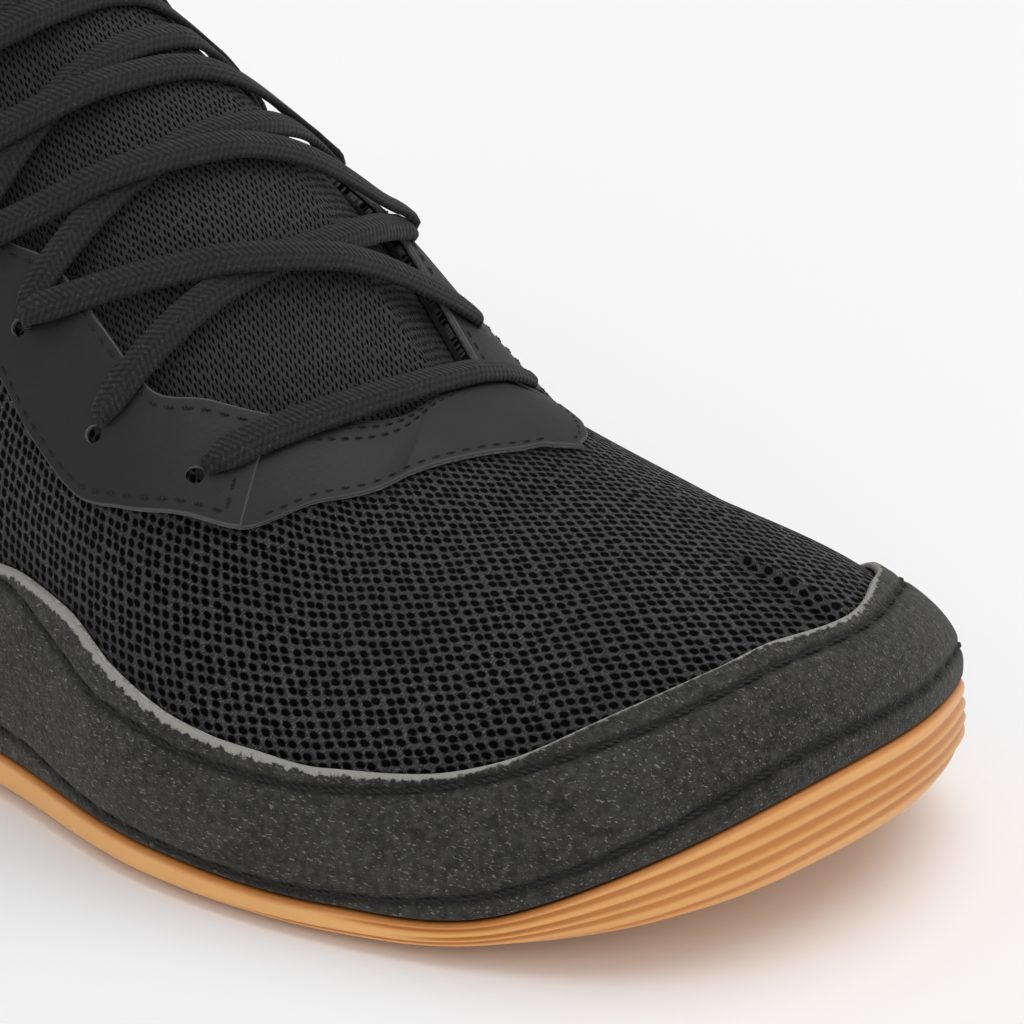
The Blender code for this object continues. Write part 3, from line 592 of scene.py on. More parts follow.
class Finish:
    """A node material that is built up with short calls."""

    def __init__(self, name, **values):
        self.material = bpy.data.materials.new(name)
        self.material.use_nodes = True
        self.tree = self.material.node_tree
        self.shader = self.tree.nodes["Principled BSDF"]
        self.fill(self.shader, values)

    def fill(self, node, values):
        for key, value in values.items():
            socket = node.inputs[key] if isinstance(key, int) else node.inputs[key.replace("_", " ")]
            if isinstance(value, bpy.types.NodeSocket):
                self.tree.links.new(value, socket)
            elif socket.type == "RGBA":
                socket.default_value = (*value, 1.0)
            else:
                socket.default_value = value

    def node(self, kind, out=0, settings=None, **values):
        made = self.tree.nodes.new("ShaderNode" + kind)
        for key, value in (settings or {}).items():
            setattr(made, key, value)
        self.fill(made, values)
        return made.outputs[out]

    def sum(self, operation, *values, clamp=False):
        made = self.tree.nodes.new("ShaderNodeMath")
        made.operation = operation
        made.use_clamp = clamp
        self.fill(made, dict(enumerate(values)))
        return made.outputs[0]

    def step(self, value, low, high, first=0.0, last=1.0):
        made = self.tree.nodes.new("ShaderNodeMapRange")
        made.interpolation_type = "SMOOTHSTEP"
        self.fill(made, {"Value": value, "From Min": low, "From Max": high, "To Min": first, "To Max": last})
        return made.outputs[0]

    def blend(self, share, first, second):
        made = self.tree.nodes.new("ShaderNodeMix")
        made.data_type = "RGBA"
        for socket, value in ((made.inputs[0], share), (made.inputs[6], first), (made.inputs[7], second)):
            if isinstance(value, bpy.types.NodeSocket):
                self.tree.links.new(value, socket)
            else:
                socket.default_value = (*value, 1.0) if socket.type == "RGBA" else value
        return made.outputs[2]

    def place(self, scale=(1.0, 1.0, 1.0), turn=0.0, cloth=False):
        """Object place, or the cloth's own flat place in mm, scaled and turned."""
        if cloth:
            source = self.node("UVMap", settings={"uv_map": "cloth"})
        else:
            source = self.node("TexCoord", out="Object")
        return self.node("Mapping", Vector=source, Rotation=(0.0, 0.0, turn), Scale=scale)

    def noise(self, vector, scale, detail=2.0, rough=0.5):
        return self.node("TexNoise", Vector=vector, Scale=scale, Detail=detail, Roughness=rough)

    def layer(self, name):
        return self.node("Attribute", out="Fac", settings={"attribute_name": name})

    def bump(self, height, distance, strength=1.0, below=None):
        values = {"Height": height, "Distance": distance, "Strength": strength}
        if below is not None:
            values["Normal"] = below
        return self.node("Bump", **values)

    def wear(self, **values):
        self.fill(self.shader, values)
        return self.material


def knit(name, dark, light, hole_wide, wide, tall, turn):
    """Black sandwich mesh: staggered holes painted near black as shade, between twisted yarns with painted highlight
    flecks.
    """
    f = Finish(name, Specular_IOR_Level=0.28, Sheen_Weight=0.05, Sheen_Roughness=0.4)
    flat = f.place(cloth=True, turn=turn)
    drift = f.node("TexNoise", out="Color", Vector=flat, Scale=0.9, Detail=2.0)
    moving = f.tree.nodes.new("ShaderNodeVectorMath")
    moving.operation = "MULTIPLY_ADD"
    f.fill(moving, {0: drift, 1: (0.28, 0.28, 0.0), 2: flat})
    moved = moving.outputs[0]
    scaled = f.node("Mapping", Vector=moved, Scale=(math.sqrt(2.0) / wide, math.sqrt(2.0) / tall, 0.0))
    turned = f.node("Mapping", Vector=scaled, Rotation=(0.0, 0.0, math.pi / 4.0))
    cell = f.tree.nodes.new("ShaderNodeTexVoronoi")
    cell.voronoi_dimensions = "2D"
    f.fill(cell, {"Vector": turned, "Scale": 1.0, "Randomness": 0.26})
    distance = cell.outputs["Distance"]
    open_share = f.step(distance, hole_wide, hole_wide + 0.24)
    strand = f.node("Mapping", Vector=moved, Rotation=(0.0, 0.0, 0.55), Scale=(1.3, 5.2, 1.0))
    fibre = f.noise(strand, 1.0, 3.0, 0.7)
    fleck = f.noise(flat, 4.2, 2.0, 0.6)
    # painted highlight: the light colour on yarn strands and flecks stands in for glints of light on the yarn
    painted_highlight = f.sum("MULTIPLY", f.step(fibre, 0.42, 0.60), f.step(fleck, 0.38, 0.60))
    yarn = f.blend(painted_highlight, dark, light)
    patch = f.noise(f.place(), 60.0, 2.0)
    yarn = f.blend(f.step(patch, 0.3, 0.7, 0.0, 0.35), yarn, tuple(0.55 * c for c in dark))
    # painted shade: the holes are coloured near black for the shade inside them
    colour = f.blend(open_share, (0.0012, 0.0012, 0.0016), yarn)
    height = f.sum("MULTIPLY_ADD", fibre, 0.7, open_share)
    rough = f.step(open_share, 0.0, 1.0, 0.95, 0.58)
    return f.wear(Base_Color=colour, Roughness=rough, Normal=f.bump(height, 0.00055, 0.9),
                  Specular_IOR_Level=f.step(open_share, 0.0, 1.0, 0.0, 0.34))


def suede(name):
    """Charcoal suede with a pale fleck in the nap; sewn rows are pressed in, with painted shade along them."""
    f = Finish(name, Roughness=0.95, Specular_IOR_Level=0.12, Sheen_Weight=0.12, Sheen_Roughness=0.5,
               Sheen_Tint=(0.9, 0.9, 0.85))
    spot = f.place()
    wide = f.noise(spot, 55.0, 3.0)
    nap = f.noise(spot, 900.0, 3.0, 0.65)
    hair = f.noise(f.node("Mapping", Vector=spot, Rotation=(0.3, 0.5, 0.7), Scale=(1.0, 3.2, 3.2)), 1100.0, 2.0, 0.6)
    colour = f.blend(f.step(wide, 0.3, 0.7), (0.021, 0.0205, 0.0185), (0.034, 0.0335, 0.030))
    colour = f.blend(f.step(nap, 0.35, 0.7, 0.0, 0.8), colour, (0.060, 0.059, 0.054))
    colour = f.blend(f.step(hair, 0.60, 0.70, 0.0, 0.85), colour, (0.20, 0.195, 0.18))
    deep = f.noise(spot, 420.0, 2.0, 0.6)
    colour = f.blend(f.step(deep, 0.55, 0.75, 0.0, 0.6), colour, (0.012, 0.012, 0.011))
    # painted shade: darker along both sewn rows, where the pressed troughs lie
    seam = f.sum("MINIMUM", f.layer("seam_low"), f.layer("seam_high"))
    colour = f.blend(f.step(seam, 0.25, 1.3, 0.75, 0.0), colour, (0.010, 0.010, 0.010))
    fray = f.layer("fray")
    reach = f.sum("MULTIPLY", fray, f.sum("MULTIPLY_ADD", nap, 2.6, -0.45))
    edge = f.sum("SUBTRACT", f.layer("high_gap"), reach)
    colour = f.blend(f.step(edge, -0.15, 0.25, 0.85, 0.0), colour, (0.34, 0.335, 0.31))
    height = f.sum("MULTIPLY_ADD", hair, 0.6, nap)
    return f.wear(Base_Color=colour, Normal=f.bump(height, 0.0005, 0.8))


def frayed(name):
    """The pale cut edge of the suede."""
    f = Finish(name, Roughness=1.0, Specular_IOR_Level=0.05, Sheen_Weight=0.3)
    spot = f.place()
    tuft = f.noise(spot, 1300.0, 3.0, 0.7)
    wide = f.noise(spot, 90.0, 2.0)
    colour = f.blend(f.step(tuft, 0.35, 0.62), (0.16, 0.16, 0.15), (0.60, 0.59, 0.56))
    colour = f.blend(f.step(wide, 0.42, 0.62, 0.0, 0.45), colour, (0.24, 0.21, 0.18))
    colour = f.blend(f.layer("fray"), (0.05, 0.048, 0.044), colour)
    return f.wear(Base_Color=colour, Normal=f.bump(tuft, 0.0004, 1.0))


def leatherette(name, base, rough, sewn=True):
    """Matte coated panel with a fine grain, a soft gloss and a paler band along its edges: the pale cut edge, partly
    painted highlight on the rounded edge.
    """
    f = Finish(name, Specular_IOR_Level=0.30)
    spot = f.place()
    cell = f.tree.nodes.new("ShaderNodeTexVoronoi")
    f.fill(cell, {"Vector": spot, "Scale": 1500.0})
    grain = cell.outputs["Distance"]
    wide = f.noise(spot, 45.0, 3.0)
    fine = f.noise(spot, 600.0, 3.0)
    colour = f.blend(f.step(wide, 0.3, 0.7), base, tuple(1.25 * c for c in base))
    colour = f.blend(f.step(fine, 0.55, 0.8, 0.0, 0.35), colour, tuple(1.6 * c for c in base))
    # paler band near the edges: the pale cut edge, partly painted highlight where the edge rounds over
    if sewn:
        edge = f.sum("MINIMUM", f.layer("low_gap"), f.layer("high_gap"))
        edge = f.sum("MINIMUM", edge, f.layer("end_gap"))
        colour = f.blend(f.step(edge, 0.15, 0.45, 0.8, 0.0), colour, tuple(7.0 * c for c in base))
    height = f.sum("MULTIPLY_ADD", grain, 0.5, fine)
    return f.wear(Base_Color=colour, Roughness=f.step(wide, 0.3, 0.7, rough - 0.06, rough + 0.08),
                  Normal=f.bump(height, 0.00012, 0.5))


def plain_cloth(name, colour, scale, rough=0.9):
    f = Finish(name, Roughness=rough, Specular_IOR_Level=0.15, Sheen_Weight=0.08)
    spot = f.place()
    weave = f.noise(spot, scale, 2.0, 0.6)
    wide = f.noise(spot, 60.0, 2.0)
    shade = f.blend(f.step(weave, 0.35, 0.7), tuple(0.55 * c for c in colour), colour)
    shade = f.blend(f.step(wide, 0.35, 0.7, 0.0, 0.4), shade, tuple(0.6 * c for c in colour))
    return f.wear(Base_Color=shade, Normal=f.bump(weave, 0.0003, 0.6))


def cord_weave(name):
    """Woven lace: chevron ribs of about a millimetre, painted darker in their grooves as shade."""
    f = Finish(name, Specular_IOR_Level=0.22, Sheen_Weight=0.06)
    flat = f.place(cloth=True)
    split = f.tree.nodes.new("ShaderNodeSeparateXYZ")
    f.fill(split, {0: flat})
    along, across = split.outputs[0], split.outputs[1]
    lean = f.sum("MULTIPLY_ADD", f.sum("ABSOLUTE", across), 0.7, along)
    ridge = f.sum("SINE", f.sum("MULTIPLY", lean, 2.0 * math.pi / 0.95))
    columns = f.sum("SINE", f.sum("MULTIPLY", across, 2.0 * math.pi / 1.1))
    weave = f.sum("MULTIPLY_ADD", ridge, 0.5, f.sum("MULTIPLY", columns, 0.35))
    fuzz = f.noise(f.place(), 2600.0, 2.0, 0.7)
    height = f.sum("MULTIPLY_ADD", fuzz, 0.7, weave)
    # painted shade: the weave's grooves darker and its ridges lighter, following the height that makes the bump
    colour = f.blend(f.step(weave, -0.6, 0.8), (0.0075, 0.0075, 0.008), (0.0175, 0.0175, 0.0185))
    colour = f.blend(f.step(fuzz, 0.55, 0.75, 0.0, 0.7), colour, (0.060, 0.060, 0.062))
    return f.wear(Base_Color=colour, Roughness=0.8, Normal=f.bump(height, 0.00018, 0.7))


def thread_finish(name, colour):
    f = Finish(name, Roughness=0.6, Specular_IOR_Level=0.3)
    fuzz = f.noise(f.place(), 3500.0, 2.0, 0.7)
    shade = f.blend(fuzz, tuple(0.5 * c for c in colour), tuple(1.5 * c for c in colour))
    return f.wear(Base_Color=shade)


def gum(name):
    """Satin gum rubber with painted shade, darker and redder in the toe grooves and along the top of its side, and a
    dusting of scuffs.
    """
    f = Finish(name, Subsurface_Weight=0.12, Subsurface_Radius=(0.6, 0.25, 0.08), Subsurface_Scale=0.004,
               Specular_IOR_Level=0.38, Coat_Weight=0.06, Coat_Roughness=0.35)
    spot = f.place()
    wide = f.noise(spot, 30.0, 3.0)
    fine = f.noise(spot, 700.0, 3.0, 0.6)
    colour = f.blend(f.step(wide, 0.3, 0.7), (0.745, 0.375, 0.130), (0.80, 0.425, 0.160))
    # painted shade: the toe grooves coloured darker and redder
    colour = f.blend(f.step(f.layer("groove"), 0.05, 0.9, 0.0, 0.75), colour, (0.50, 0.165, 0.028))
    # painted shade: darker and redder along the top of the side and over the lip, where the upper overhangs the sole
    colour = f.blend(f.step(f.layer("rim_gap"), 0.1, 0.8, 0.8, 0.0), colour, (0.50, 0.16, 0.026))
    colour = f.blend(f.step(fine, 0.62, 0.8, 0.0, 0.25), colour, (0.80, 0.44, 0.17))
    return f.wear(Base_Color=colour, Roughness=f.step(wide, 0.3, 0.7, 0.42, 0.54),
                  Normal=f.bump(fine, 0.00008, 0.5))


# each knit's second colour is the painted highlight on its yarns
KNIT = knit("knit_vamp", (0.0105, 0.0100, 0.0110), (0.125, 0.123, 0.128), 0.27, 1.60, 2.35, 0.35)
KNIT_TONGUE = knit("knit_tongue", (0.0170, 0.0165, 0.0180), (0.060, 0.059, 0.062), 0.17, 1.30, 1.90, 1.2)
SUEDE = suede("suede_nap")
FRAYED = frayed("suede_cut_edge")
STAY = leatherette("synthetic_matte", (0.0120, 0.0116, 0.0128), 0.58)
STAY_EDGE = plain_cloth("synthetic_cut_edge", (0.20, 0.20, 0.19), 1500.0, 0.8)
BAND = leatherette("synthetic_smooth", (0.0098, 0.0096, 0.0104), 0.56)
LINING = plain_cloth("lining_cloth", (0.030, 0.030, 0.033), 900.0)
FOAM = plain_cloth("foot_bed_cloth", (0.055, 0.055, 0.060), 700.0)
BINDING = plain_cloth("binding_cloth", (0.016, 0.016, 0.018), 1100.0, 0.8)
LACE = cord_weave("lace_weave")
THREAD = thread_finish("sewing_thread", (0.009, 0.009, 0.010))
GUM = gum("gum_satin")

PIECES = {}


def keep(piece, nodes):
    """Puts a piece on the one body, with the CAD nodes that it stands for."""
    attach(piece, "root")
    if nodes:
        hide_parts(*nodes)
    PIECES[piece.name] = piece
    return piece


# upper: the outer knit, one sheet cut at the heel, and its lining
UPPER_COLUMNS = 420
UPPER_STEPS = 64
LINING_COLUMNS = 280
LINING_STEPS = 40
RIM_SPLIT = 0.9


FLAT_COLUMNS = 160
FLAT_ROWS = 26
FLAT_FINE = 20
FLAT_LINE = 0.75
VAMP_PLACES = ((0.88, 0.80), (0.88, 1.00))


def unwrapped(piece):
    """Flat place of each corner of a piece, and the vertex at each corner."""
    bpy.context.view_layer.objects.active = piece
    piece.select_set(True)
    piece.data.uv_layers.new(name="cloth")
    bpy.ops.object.mode_set(mode="EDIT")
    bpy.ops.mesh.select_all(action="SELECT")
    bpy.ops.uv.unwrap(method="MINIMUM_STRETCH", fill_holes=False, margin=0.0, iterations=60)
    bpy.ops.object.mode_set(mode="OBJECT")
    piece.select_set(False)
    mesh = piece.data
    flat = np.zeros(2 * len(mesh.loops), np.float32)
    mesh.uv_layers["cloth"].data.foreach_get("uv", flat)
    corner = np.zeros(len(mesh.loops), np.int32)
    mesh.loops.foreach_get("vertex_index", corner)
    return flat.reshape(-1, 2).astype(float), corner


def flat_pattern():
    """The upper's flat pattern as a grid over station and share of the rib, in mm, from a coarse sheet."""
    stations = np.linspace(0.0, 2.0, FLAT_COLUMNS + 1)
    share = np.linspace(0.0, 1.0, FLAT_ROWS)[:, None]
    points = form(stations[None, :], share * PANEL(stations)[:, 2])
    flat_points = points.reshape(-1, 3).copy()
    flat_points[np.arange(FLAT_ROWS) * (FLAT_COLUMNS + 1) + FLAT_COLUMNS, 1] += 2e-2
    keys = np.round(flat_points / 1e-3).astype(np.int64)
    _, first, back = np.unique(keys, axis=0, return_index=True, return_inverse=True)
    back = back.ravel()
    faces = []
    for face in back[grid_faces(FLAT_ROWS, FLAT_COLUMNS + 1)]:
        ring = [int(p) for i, p in enumerate(face) if p != face[i - 1]]
        if len(set(ring)) > 2:
            faces.append(ring)
    sheet = make_piece("flat_sheet", flat_points[first], faces, [KNIT])
    flat, corner = unwrapped(sheet)
    place = np.zeros((len(first), 2))
    place[corner] = flat
    bpy.data.objects.remove(sheet, do_unlink=True)
    grid = place[back].reshape(FLAT_ROWS, FLAT_COLUMNS + 1, 2)
    spots = []
    for station, height in VAMP_PLACES:
        column = int(round(station / 2.0 * FLAT_COLUMNS))
        row = int(round(height * (FLAT_ROWS - 1)))
        spots.append((grid[row, column], points[row, column]))
    (flat_a, point_a), (flat_b, point_b) = spots
    turn = complex(*(flat_b - flat_a))
    size = np.linalg.norm(point_b - point_a)
    moved = ((grid - flat_a) @ np.array([1.0, 1j])) * (size / turn)
    return np.stack([moved.real, moved.imag], -1)


def on_pattern(grid, stations, heights):
    """Place on the flat pattern at stations and heights."""
    tops = PANEL(np.linspace(0.0, 2.0, FLAT_COLUMNS + 1))[:, 2]
    fine = np.linspace(0.0, 2.0, FLAT_FINE * FLAT_COLUMNS + 1)
    along = arc(form(fine, FLAT_LINE + 0.0 * fine))
    length = np.interp(stations, fine, along)
    column = np.interp(length, along[::FLAT_FINE], np.arange(FLAT_COLUMNS + 1.0))
    column = np.clip(column, 0.0, FLAT_COLUMNS - 1e-6) + 0.0 * heights
    first = column.astype(int)
    u = (column - first)[..., None]
    place = 0.0
    for c, weight in ((first, 1.0 - u), (first + 1, u)):
        row = heights / tops[c] * (FLAT_ROWS - 1)
        r = np.clip(row.astype(int), 0, FLAT_ROWS - 2)
        v = (row - r)[..., None]
        place = place + weight * ((1.0 - v) * grid[r, c] + v * grid[r + 1, c])
    return place


def upper_sheet(name, offset, rim_to, finish, flip, pattern, columns, steps):
    stations = np.linspace(0.0, 2.0, columns + 1)
    high = PANEL(stations)[:, 2]
    rows, gaps, whole = rib_rows(stations, 0.0 * stations, high, steps)
    points, _ = surface(stations[None, :], rows, offset)
    turned, _ = surface(stations, high, rim_to)
    points = np.concatenate([points, turned[None]])
    count, wide = points.shape[:2]
    faces = grid_faces(count, wide)
    if flip:
        faces = faces[:, ::-1]
    heights = np.concatenate([rows, high[None]])
    cloth = on_pattern(pattern, stations[None, :], heights)
    layers = {
        "rim_gap": np.concatenate([whole - gaps, 0.0 * whole[None]]),
        "flat_x": cloth[..., 0],
        "flat_y": cloth[..., 1],
    }
    flat_points = points.reshape(-1, 3).copy()
    flat_points[np.arange(count) * wide + wide - 1] += np.array([0.0, 2e-4, 0.0])
    flat_points, faces, layers, _ = merge_points(flat_points, faces, layers)
    cloth = np.stack([layers.pop("flat_x"), layers.pop("flat_y")], -1)
    return make_piece(name, flat_points, faces, [finish], layers=layers, cloth=cloth)


PATTERN = flat_pattern()
upper = upper_sheet("upper_knit", 0.0, -RIM_SPLIT, KNIT, False, PATTERN, UPPER_COLUMNS, UPPER_STEPS)
keep(upper, ["upper"])
lining = upper_sheet("upper_lining", -UPPER_WALL, -RIM_SPLIT, LINING, True, PATTERN, LINING_COLUMNS, LINING_STEPS)
keep(lining, [])

# rand: suede over the forefoot, pressed in along both sewn rows, its cut edge frayed
RAND_COLUMNS = 450
RAND_STEPS = 62
SEAM_DEEP = 0.42
SEAM_WIDE = 0.75
RAND_ROUND = 0.65

# station, height of the upper sewn row, height of the lower sewn row
RAND_SEAMS = (
    (0.425, 0.046, 0.014),
    (0.480, 0.100, 0.020),
    (0.540, 0.165, 0.026),
    (0.590, 0.196, 0.030),
    (0.623, 0.179, 0.020),
    (0.656, 0.158, 0.015),
    (0.695, 0.160, 0.015),
    (0.715, 0.170, 0.016),
    (0.753, 0.198, 0.020),
    (0.795, 0.229, 0.030),
    (0.837, 0.265, 0.048),
    (0.876, 0.302, 0.058),
    (0.908, 0.342, 0.073),
    (0.940, 0.402, 0.108),
    (0.972, 0.462, 0.140),
    (1.000, 0.483, 0.140),
)

# station, share of the cut edge that shows pale
FRAY = (
    (0.42, 0.3),
    (0.55, 0.6),
    (0.60, 1.0),
    (0.76, 1.0),
    (0.84, 0.75),
    (0.88, 0.35),
    (0.94, 0.30),
    (0.97, 0.75),
    (1.00, 0.85),
)
SEAMS = Track(closed_table(RAND_SEAMS, (1, 2), (1, 2), (1, 1)), True)


def seam_gap(stations, rows, heights):
    """Distance in mm along the ribs from a line of heights."""
    step = 1e-3
    speed = np.linalg.norm(form(stations, heights + step) - form(stations, heights - step), axis=-1) / (2 * step)
    return (rows - heights) * speed


def rand_hollow(stations, rows):
    seams = SEAMS(stations)
    deep = 0.0
    for k in range(2):
        gap = seam_gap(stations, rows, seams[:, k])
        deep = deep + SEAM_DEEP * np.exp(-(gap / SEAM_WIDE) ** 2)
    return deep


def frayed_share(station):
    """How much of the pale cut edge shows at a station, 0 to 1."""
    table = np.array(FRAY)
    return np.interp(1.0 - np.abs(1.0 - station), table[:, 0], table[:, 1])


def make_rand_skin():
    stations = fine_ends(np.linspace(RAND_END, 2.0 - RAND_END, RAND_COLUMNS))
    low = 0.0 * stations
    high = PANEL(stations)[:, 0]
    skin = panel_mesh(stations, low, high, RAND_STEPS, FIT_GAP, FIT_GAP + PANEL_WALL, rand_hollow, RAND_ROUND)
    rows, _, _ = rib_rows(stations, low, high, RAND_STEPS)
    seams = SEAMS(stations)
    for key, k in (("seam_high", 0), ("seam_low", 1)):
        gap = np.abs(seam_gap(stations, rows, seams[:, k]))
        skin[3][key] = np.concatenate([gap.ravel()] * 2)
    skin[3]["fray"] = np.concatenate([(frayed_share(stations) + 0.0 * rows).ravel()] * 2)
    return panel("rand_suede", [SUEDE, FRAYED], [skin])


keep(make_rand_skin(), ["rand"])

# eyestays, throat band and heel counter
STAY_COLUMNS = 330
STAY_STEPS = 34
BAND_COLUMNS = 210
COUNTER_COLUMNS = 300
HOLE_RADIUS = 1.25
BAND_WALL = 0.7
HOLE_SIDES = 24
HOLE_DEEP = 3.0


def punch(skin, spots):
    """Cuts the eyelet holes through a closed skin."""
    points = []
    faces = []
    for station, height in spots:
        centre, out = surface(station, height, FIT_GAP + 0.5 * EYESTAY_WALL)
        side = unit(np.cross(out, np.array([0.3, 0.1, 1.0])))
        other = np.cross(out, side)
        first = len(points)
        for level in (-HOLE_DEEP, HOLE_DEEP):
            for k in range(HOLE_SIDES):
                a = 2.0 * math.pi * k / HOLE_SIDES
                points.append(centre + HOLE_RADIUS * (math.cos(a) * side + math.sin(a) * other) + level * out)
        for k in range(HOLE_SIDES):
            n = (k + 1) % HOLE_SIDES
            faces.append((first + k, first + n, first + HOLE_SIDES + n, first + HOLE_SIDES + k))
        faces.append(tuple(first + k for k in reversed(range(HOLE_SIDES))))
        faces.append(tuple(first + HOLE_SIDES + k for k in range(HOLE_SIDES)))
    cutter = make_piece("hole_cutter", np.array(points), faces, [STAY_EDGE])
    modifier = skin.modifiers.new("holes", "BOOLEAN")
    modifier.operation = "DIFFERENCE"
    modifier.solver = "EXACT"
    modifier.material_mode = "TRANSFER"
    modifier.object = cutter
    graph = bpy.context.evaluated_depsgraph_get()
    cut = bpy.data.meshes.new_from_object(skin.evaluated_get(graph))
    skin.modifiers.clear()
    skin.data = cut
    bpy.data.objects.remove(cutter, do_unlink=True)


def make_stay(name, first, last, spots):
    stations = fine_ends(np.linspace(first, last, STAY_COLUMNS))
    lines = PANEL(stations)
    side = panel_mesh(stations, lines[:, 1], lines[:, 2], STAY_STEPS, FIT_GAP, FIT_GAP + EYESTAY_WALL)
    skin = panel(name, [STAY, STAY_EDGE], [side])
    punch(skin, spots)
    return skin


lateral = make_stay("eyestay_lateral_skin", STAY_TOP, STAY_FRONT, [(e[0], e[1]) for e in EYELETS])
medial = make_stay("eyestay_medial_skin", 2.0 - STAY_FRONT_INNER, 2.0 - STAY_TOP,
                   [(2.0 - e[2], e[3]) for e in EYELETS])
keep(lateral, ["eyestay_lateral"])
keep(medial, ["eyestay_medial"])


def band_low(stations, inner):
    """The band's front edge; on the inner side it runs further forward."""
    low = PANEL(stations)[:, 1]
    near = 1.0 - np.abs(1.0 - stations)
    return low - (BAND_DROP * smooth(near, BAND_BACK_INNER, BAND_BACK_INNER + 0.05) if inner else 0.0)


def make_band():
    sides = []
    outer = fine_ends(np.linspace(BAND_BACK, BAND_FRONT, BAND_COLUMNS))
    inner = fine_ends(np.linspace(BAND_BACK_INNER, BAND_FRONT, BAND_COLUMNS))
    for stations in (outer, 2.0 - inner[::-1]):
        low = band_low(stations, stations[0] > 1.0)
        sides.append(panel_mesh(stations, low, PANEL(stations)[:, 2], 22, FIT_GAP, FIT_GAP + BAND_WALL))
    return panel("throat_band_skin", [BAND, STAY_EDGE], sides)


def make_counter():
    stations = fine_ends(np.linspace(-COUNTER_END, COUNTER_END, COUNTER_COLUMNS))
    high = PANEL(stations)[:, 0]
    side = panel_mesh(stations, 0.0 * stations, high, 40, FIT_GAP, FIT_GAP + PANEL_WALL)
    return panel("heel_counter_skin", [STAY, STAY_EDGE], [side])


keep(make_band(), ["throat_band"])
keep(make_counter(), ["heel_counter"])

# tongue: padded, both sides meet on the middle line, its top end is rounded
TONGUE_COLUMNS = 230
TONGUE_STEPS = 32
TONGUE_ROUND = 0.95


def tongue_outer(station, height):
    share = np.clip((height - PANEL(station)[..., 2]) / TONGUE_RISE_SPAN, 0.0, 1.0)
    return TONGUE_RISE * share - UPPER_WALL - FIT_GAP


def tongue_inner(station, height):
    return tongue_outer(station, height) - TONGUE_WALL


def make_tongue():
    sides = []
    for stations in both_sides(TONGUE_TOP, TONGUE_FRONT, TONGUE_COLUMNS):
        lines = PANEL(stations)
        low = 0.5 * (lines[:, 1] + lines[:, 2])
        side = panel_mesh(stations, low, 0.0 * low + 1.0, TONGUE_STEPS, tongue_inner, tongue_outer,
                          edge=TONGUE_ROUND)
        rows, gaps, whole = rib_rows(stations, low, 0.0 * low + 1.0, TONGUE_STEPS)
        crest = form(np.linspace(TONGUE_TOP, 1.0, 400), 1.0)
        near = 1.0 - np.abs(1.0 - stations)
        ahead = np.interp(near, np.linspace(TONGUE_TOP, 1.0, 400), arc(crest))
        away_from = (whole - gaps) * (1.0 if stations[0] < 1.0 else -1.0)
        side[3]["flat_x"] = np.concatenate([(ahead + 0.0 * gaps).ravel()] * 2)
        side[3]["flat_y"] = np.concatenate([away_from.ravel()] * 2)
        sides.append(side)
    return panel("tongue_knit", [KNIT_TONGUE], sides)


tongue = make_tongue()


# collar roll
ROLL_RADIUS = 2.2
ROLL_SIDES = 20
ROLL_COLUMNS = 260
PUCKER = 0.12
PUCKER_PITCH = 3.0


def tube(name, path, across, lifted, wide, thick, sides, finish, power=1.0, taper=True):
    """Sweeps an oval along a path; width and thickness may change along it."""
    turn = np.linspace(0.0, 2.0 * math.pi, sides + 1)
    shape_x = np.sign(np.cos(turn)) * np.abs(np.cos(turn)) ** power
    shape_y = np.sign(np.sin(turn)) * np.abs(np.sin(turn)) ** power
    wide = np.broadcast_to(wide, len(path))
    thick = np.broadcast_to(thick, len(path))
    points = (path[:, None] + (0.5 * wide[:, None] * shape_x)[..., None] * across[:, None]
              + (0.5 * thick[:, None] * shape_y)[..., None] * lifted[:, None])
    count, deep = points.shape[:2]
    faces = grid_faces(count, deep)
    along = arc(path)
    cloth = np.stack(np.broadcast_arrays(along[:, None], (0.5 * wide[:, None] * shape_x)), -1)
    first = len(points.reshape(-1, 3))
    caps = np.stack([path[0], path[-1]])
    faces = [list(f) for f in faces]
    for k in range(deep - 1):
        faces.append([first, k + 1, k])
        faces.append([first + 1, (count - 1) * deep + k, (count - 1) * deep + k + 1])
    points = np.concatenate([points.reshape(-1, 3), caps])
    cloth = np.concatenate([cloth.reshape(-1, 2), np.zeros((2, 2))])
    return points, faces, cloth


def tubes_piece(name, parts, finish):
    """One piece from several tubes."""
    first = 0
    faces = []
    for points, sides, _ in parts:
        faces += [[first + i for i in face] for face in sides]
        first += len(points)
    points = np.concatenate([part[0] for part in parts])
    cloth = np.concatenate([part[2] for part in parts])
    return make_piece(name, points, faces, [finish], cloth=cloth)


def make_collar():
    stations = np.linspace(-COLLAR_END, COLLAR_END, ROLL_COLUMNS)
    out = outline_normal(stations)
    rim, _ = surface(stations, 1.0, -0.5 * UPPER_WALL)
    lifted = np.tile([0.0, 0.0, 1.0], (len(stations), 1))
    path = rim + (ROLL_RADIUS + 0.5 * FIT_GAP) * lifted
    along = arc(path)
    ends = np.minimum(along, along[-1] - along)
    closed = np.sqrt(np.clip(ends / 1.6, 0.02, 1.0))
    pucker = 1.0 - PUCKER * (0.5 + 0.5 * np.cos(2.0 * math.pi * along / PUCKER_PITCH)) ** 4
    size = 2.0 * ROLL_RADIUS * pucker * closed
    part = tube("collar", path, out, lifted, size * 1.05, size, ROLL_SIDES, BINDING)
    return tubes_piece("collar_roll", [part], BINDING)


collar = keep(make_collar(), ["collar_binding"])
keep(tongue, ["tongue"])

# outsole: one fine loft with its lip, toe grooves and tread slots
SOLE_COLUMNS = 720
SIDE_STEPS = 44
GROOVE_DEEP = 0.55
GROOVE_WIDE = 0.055

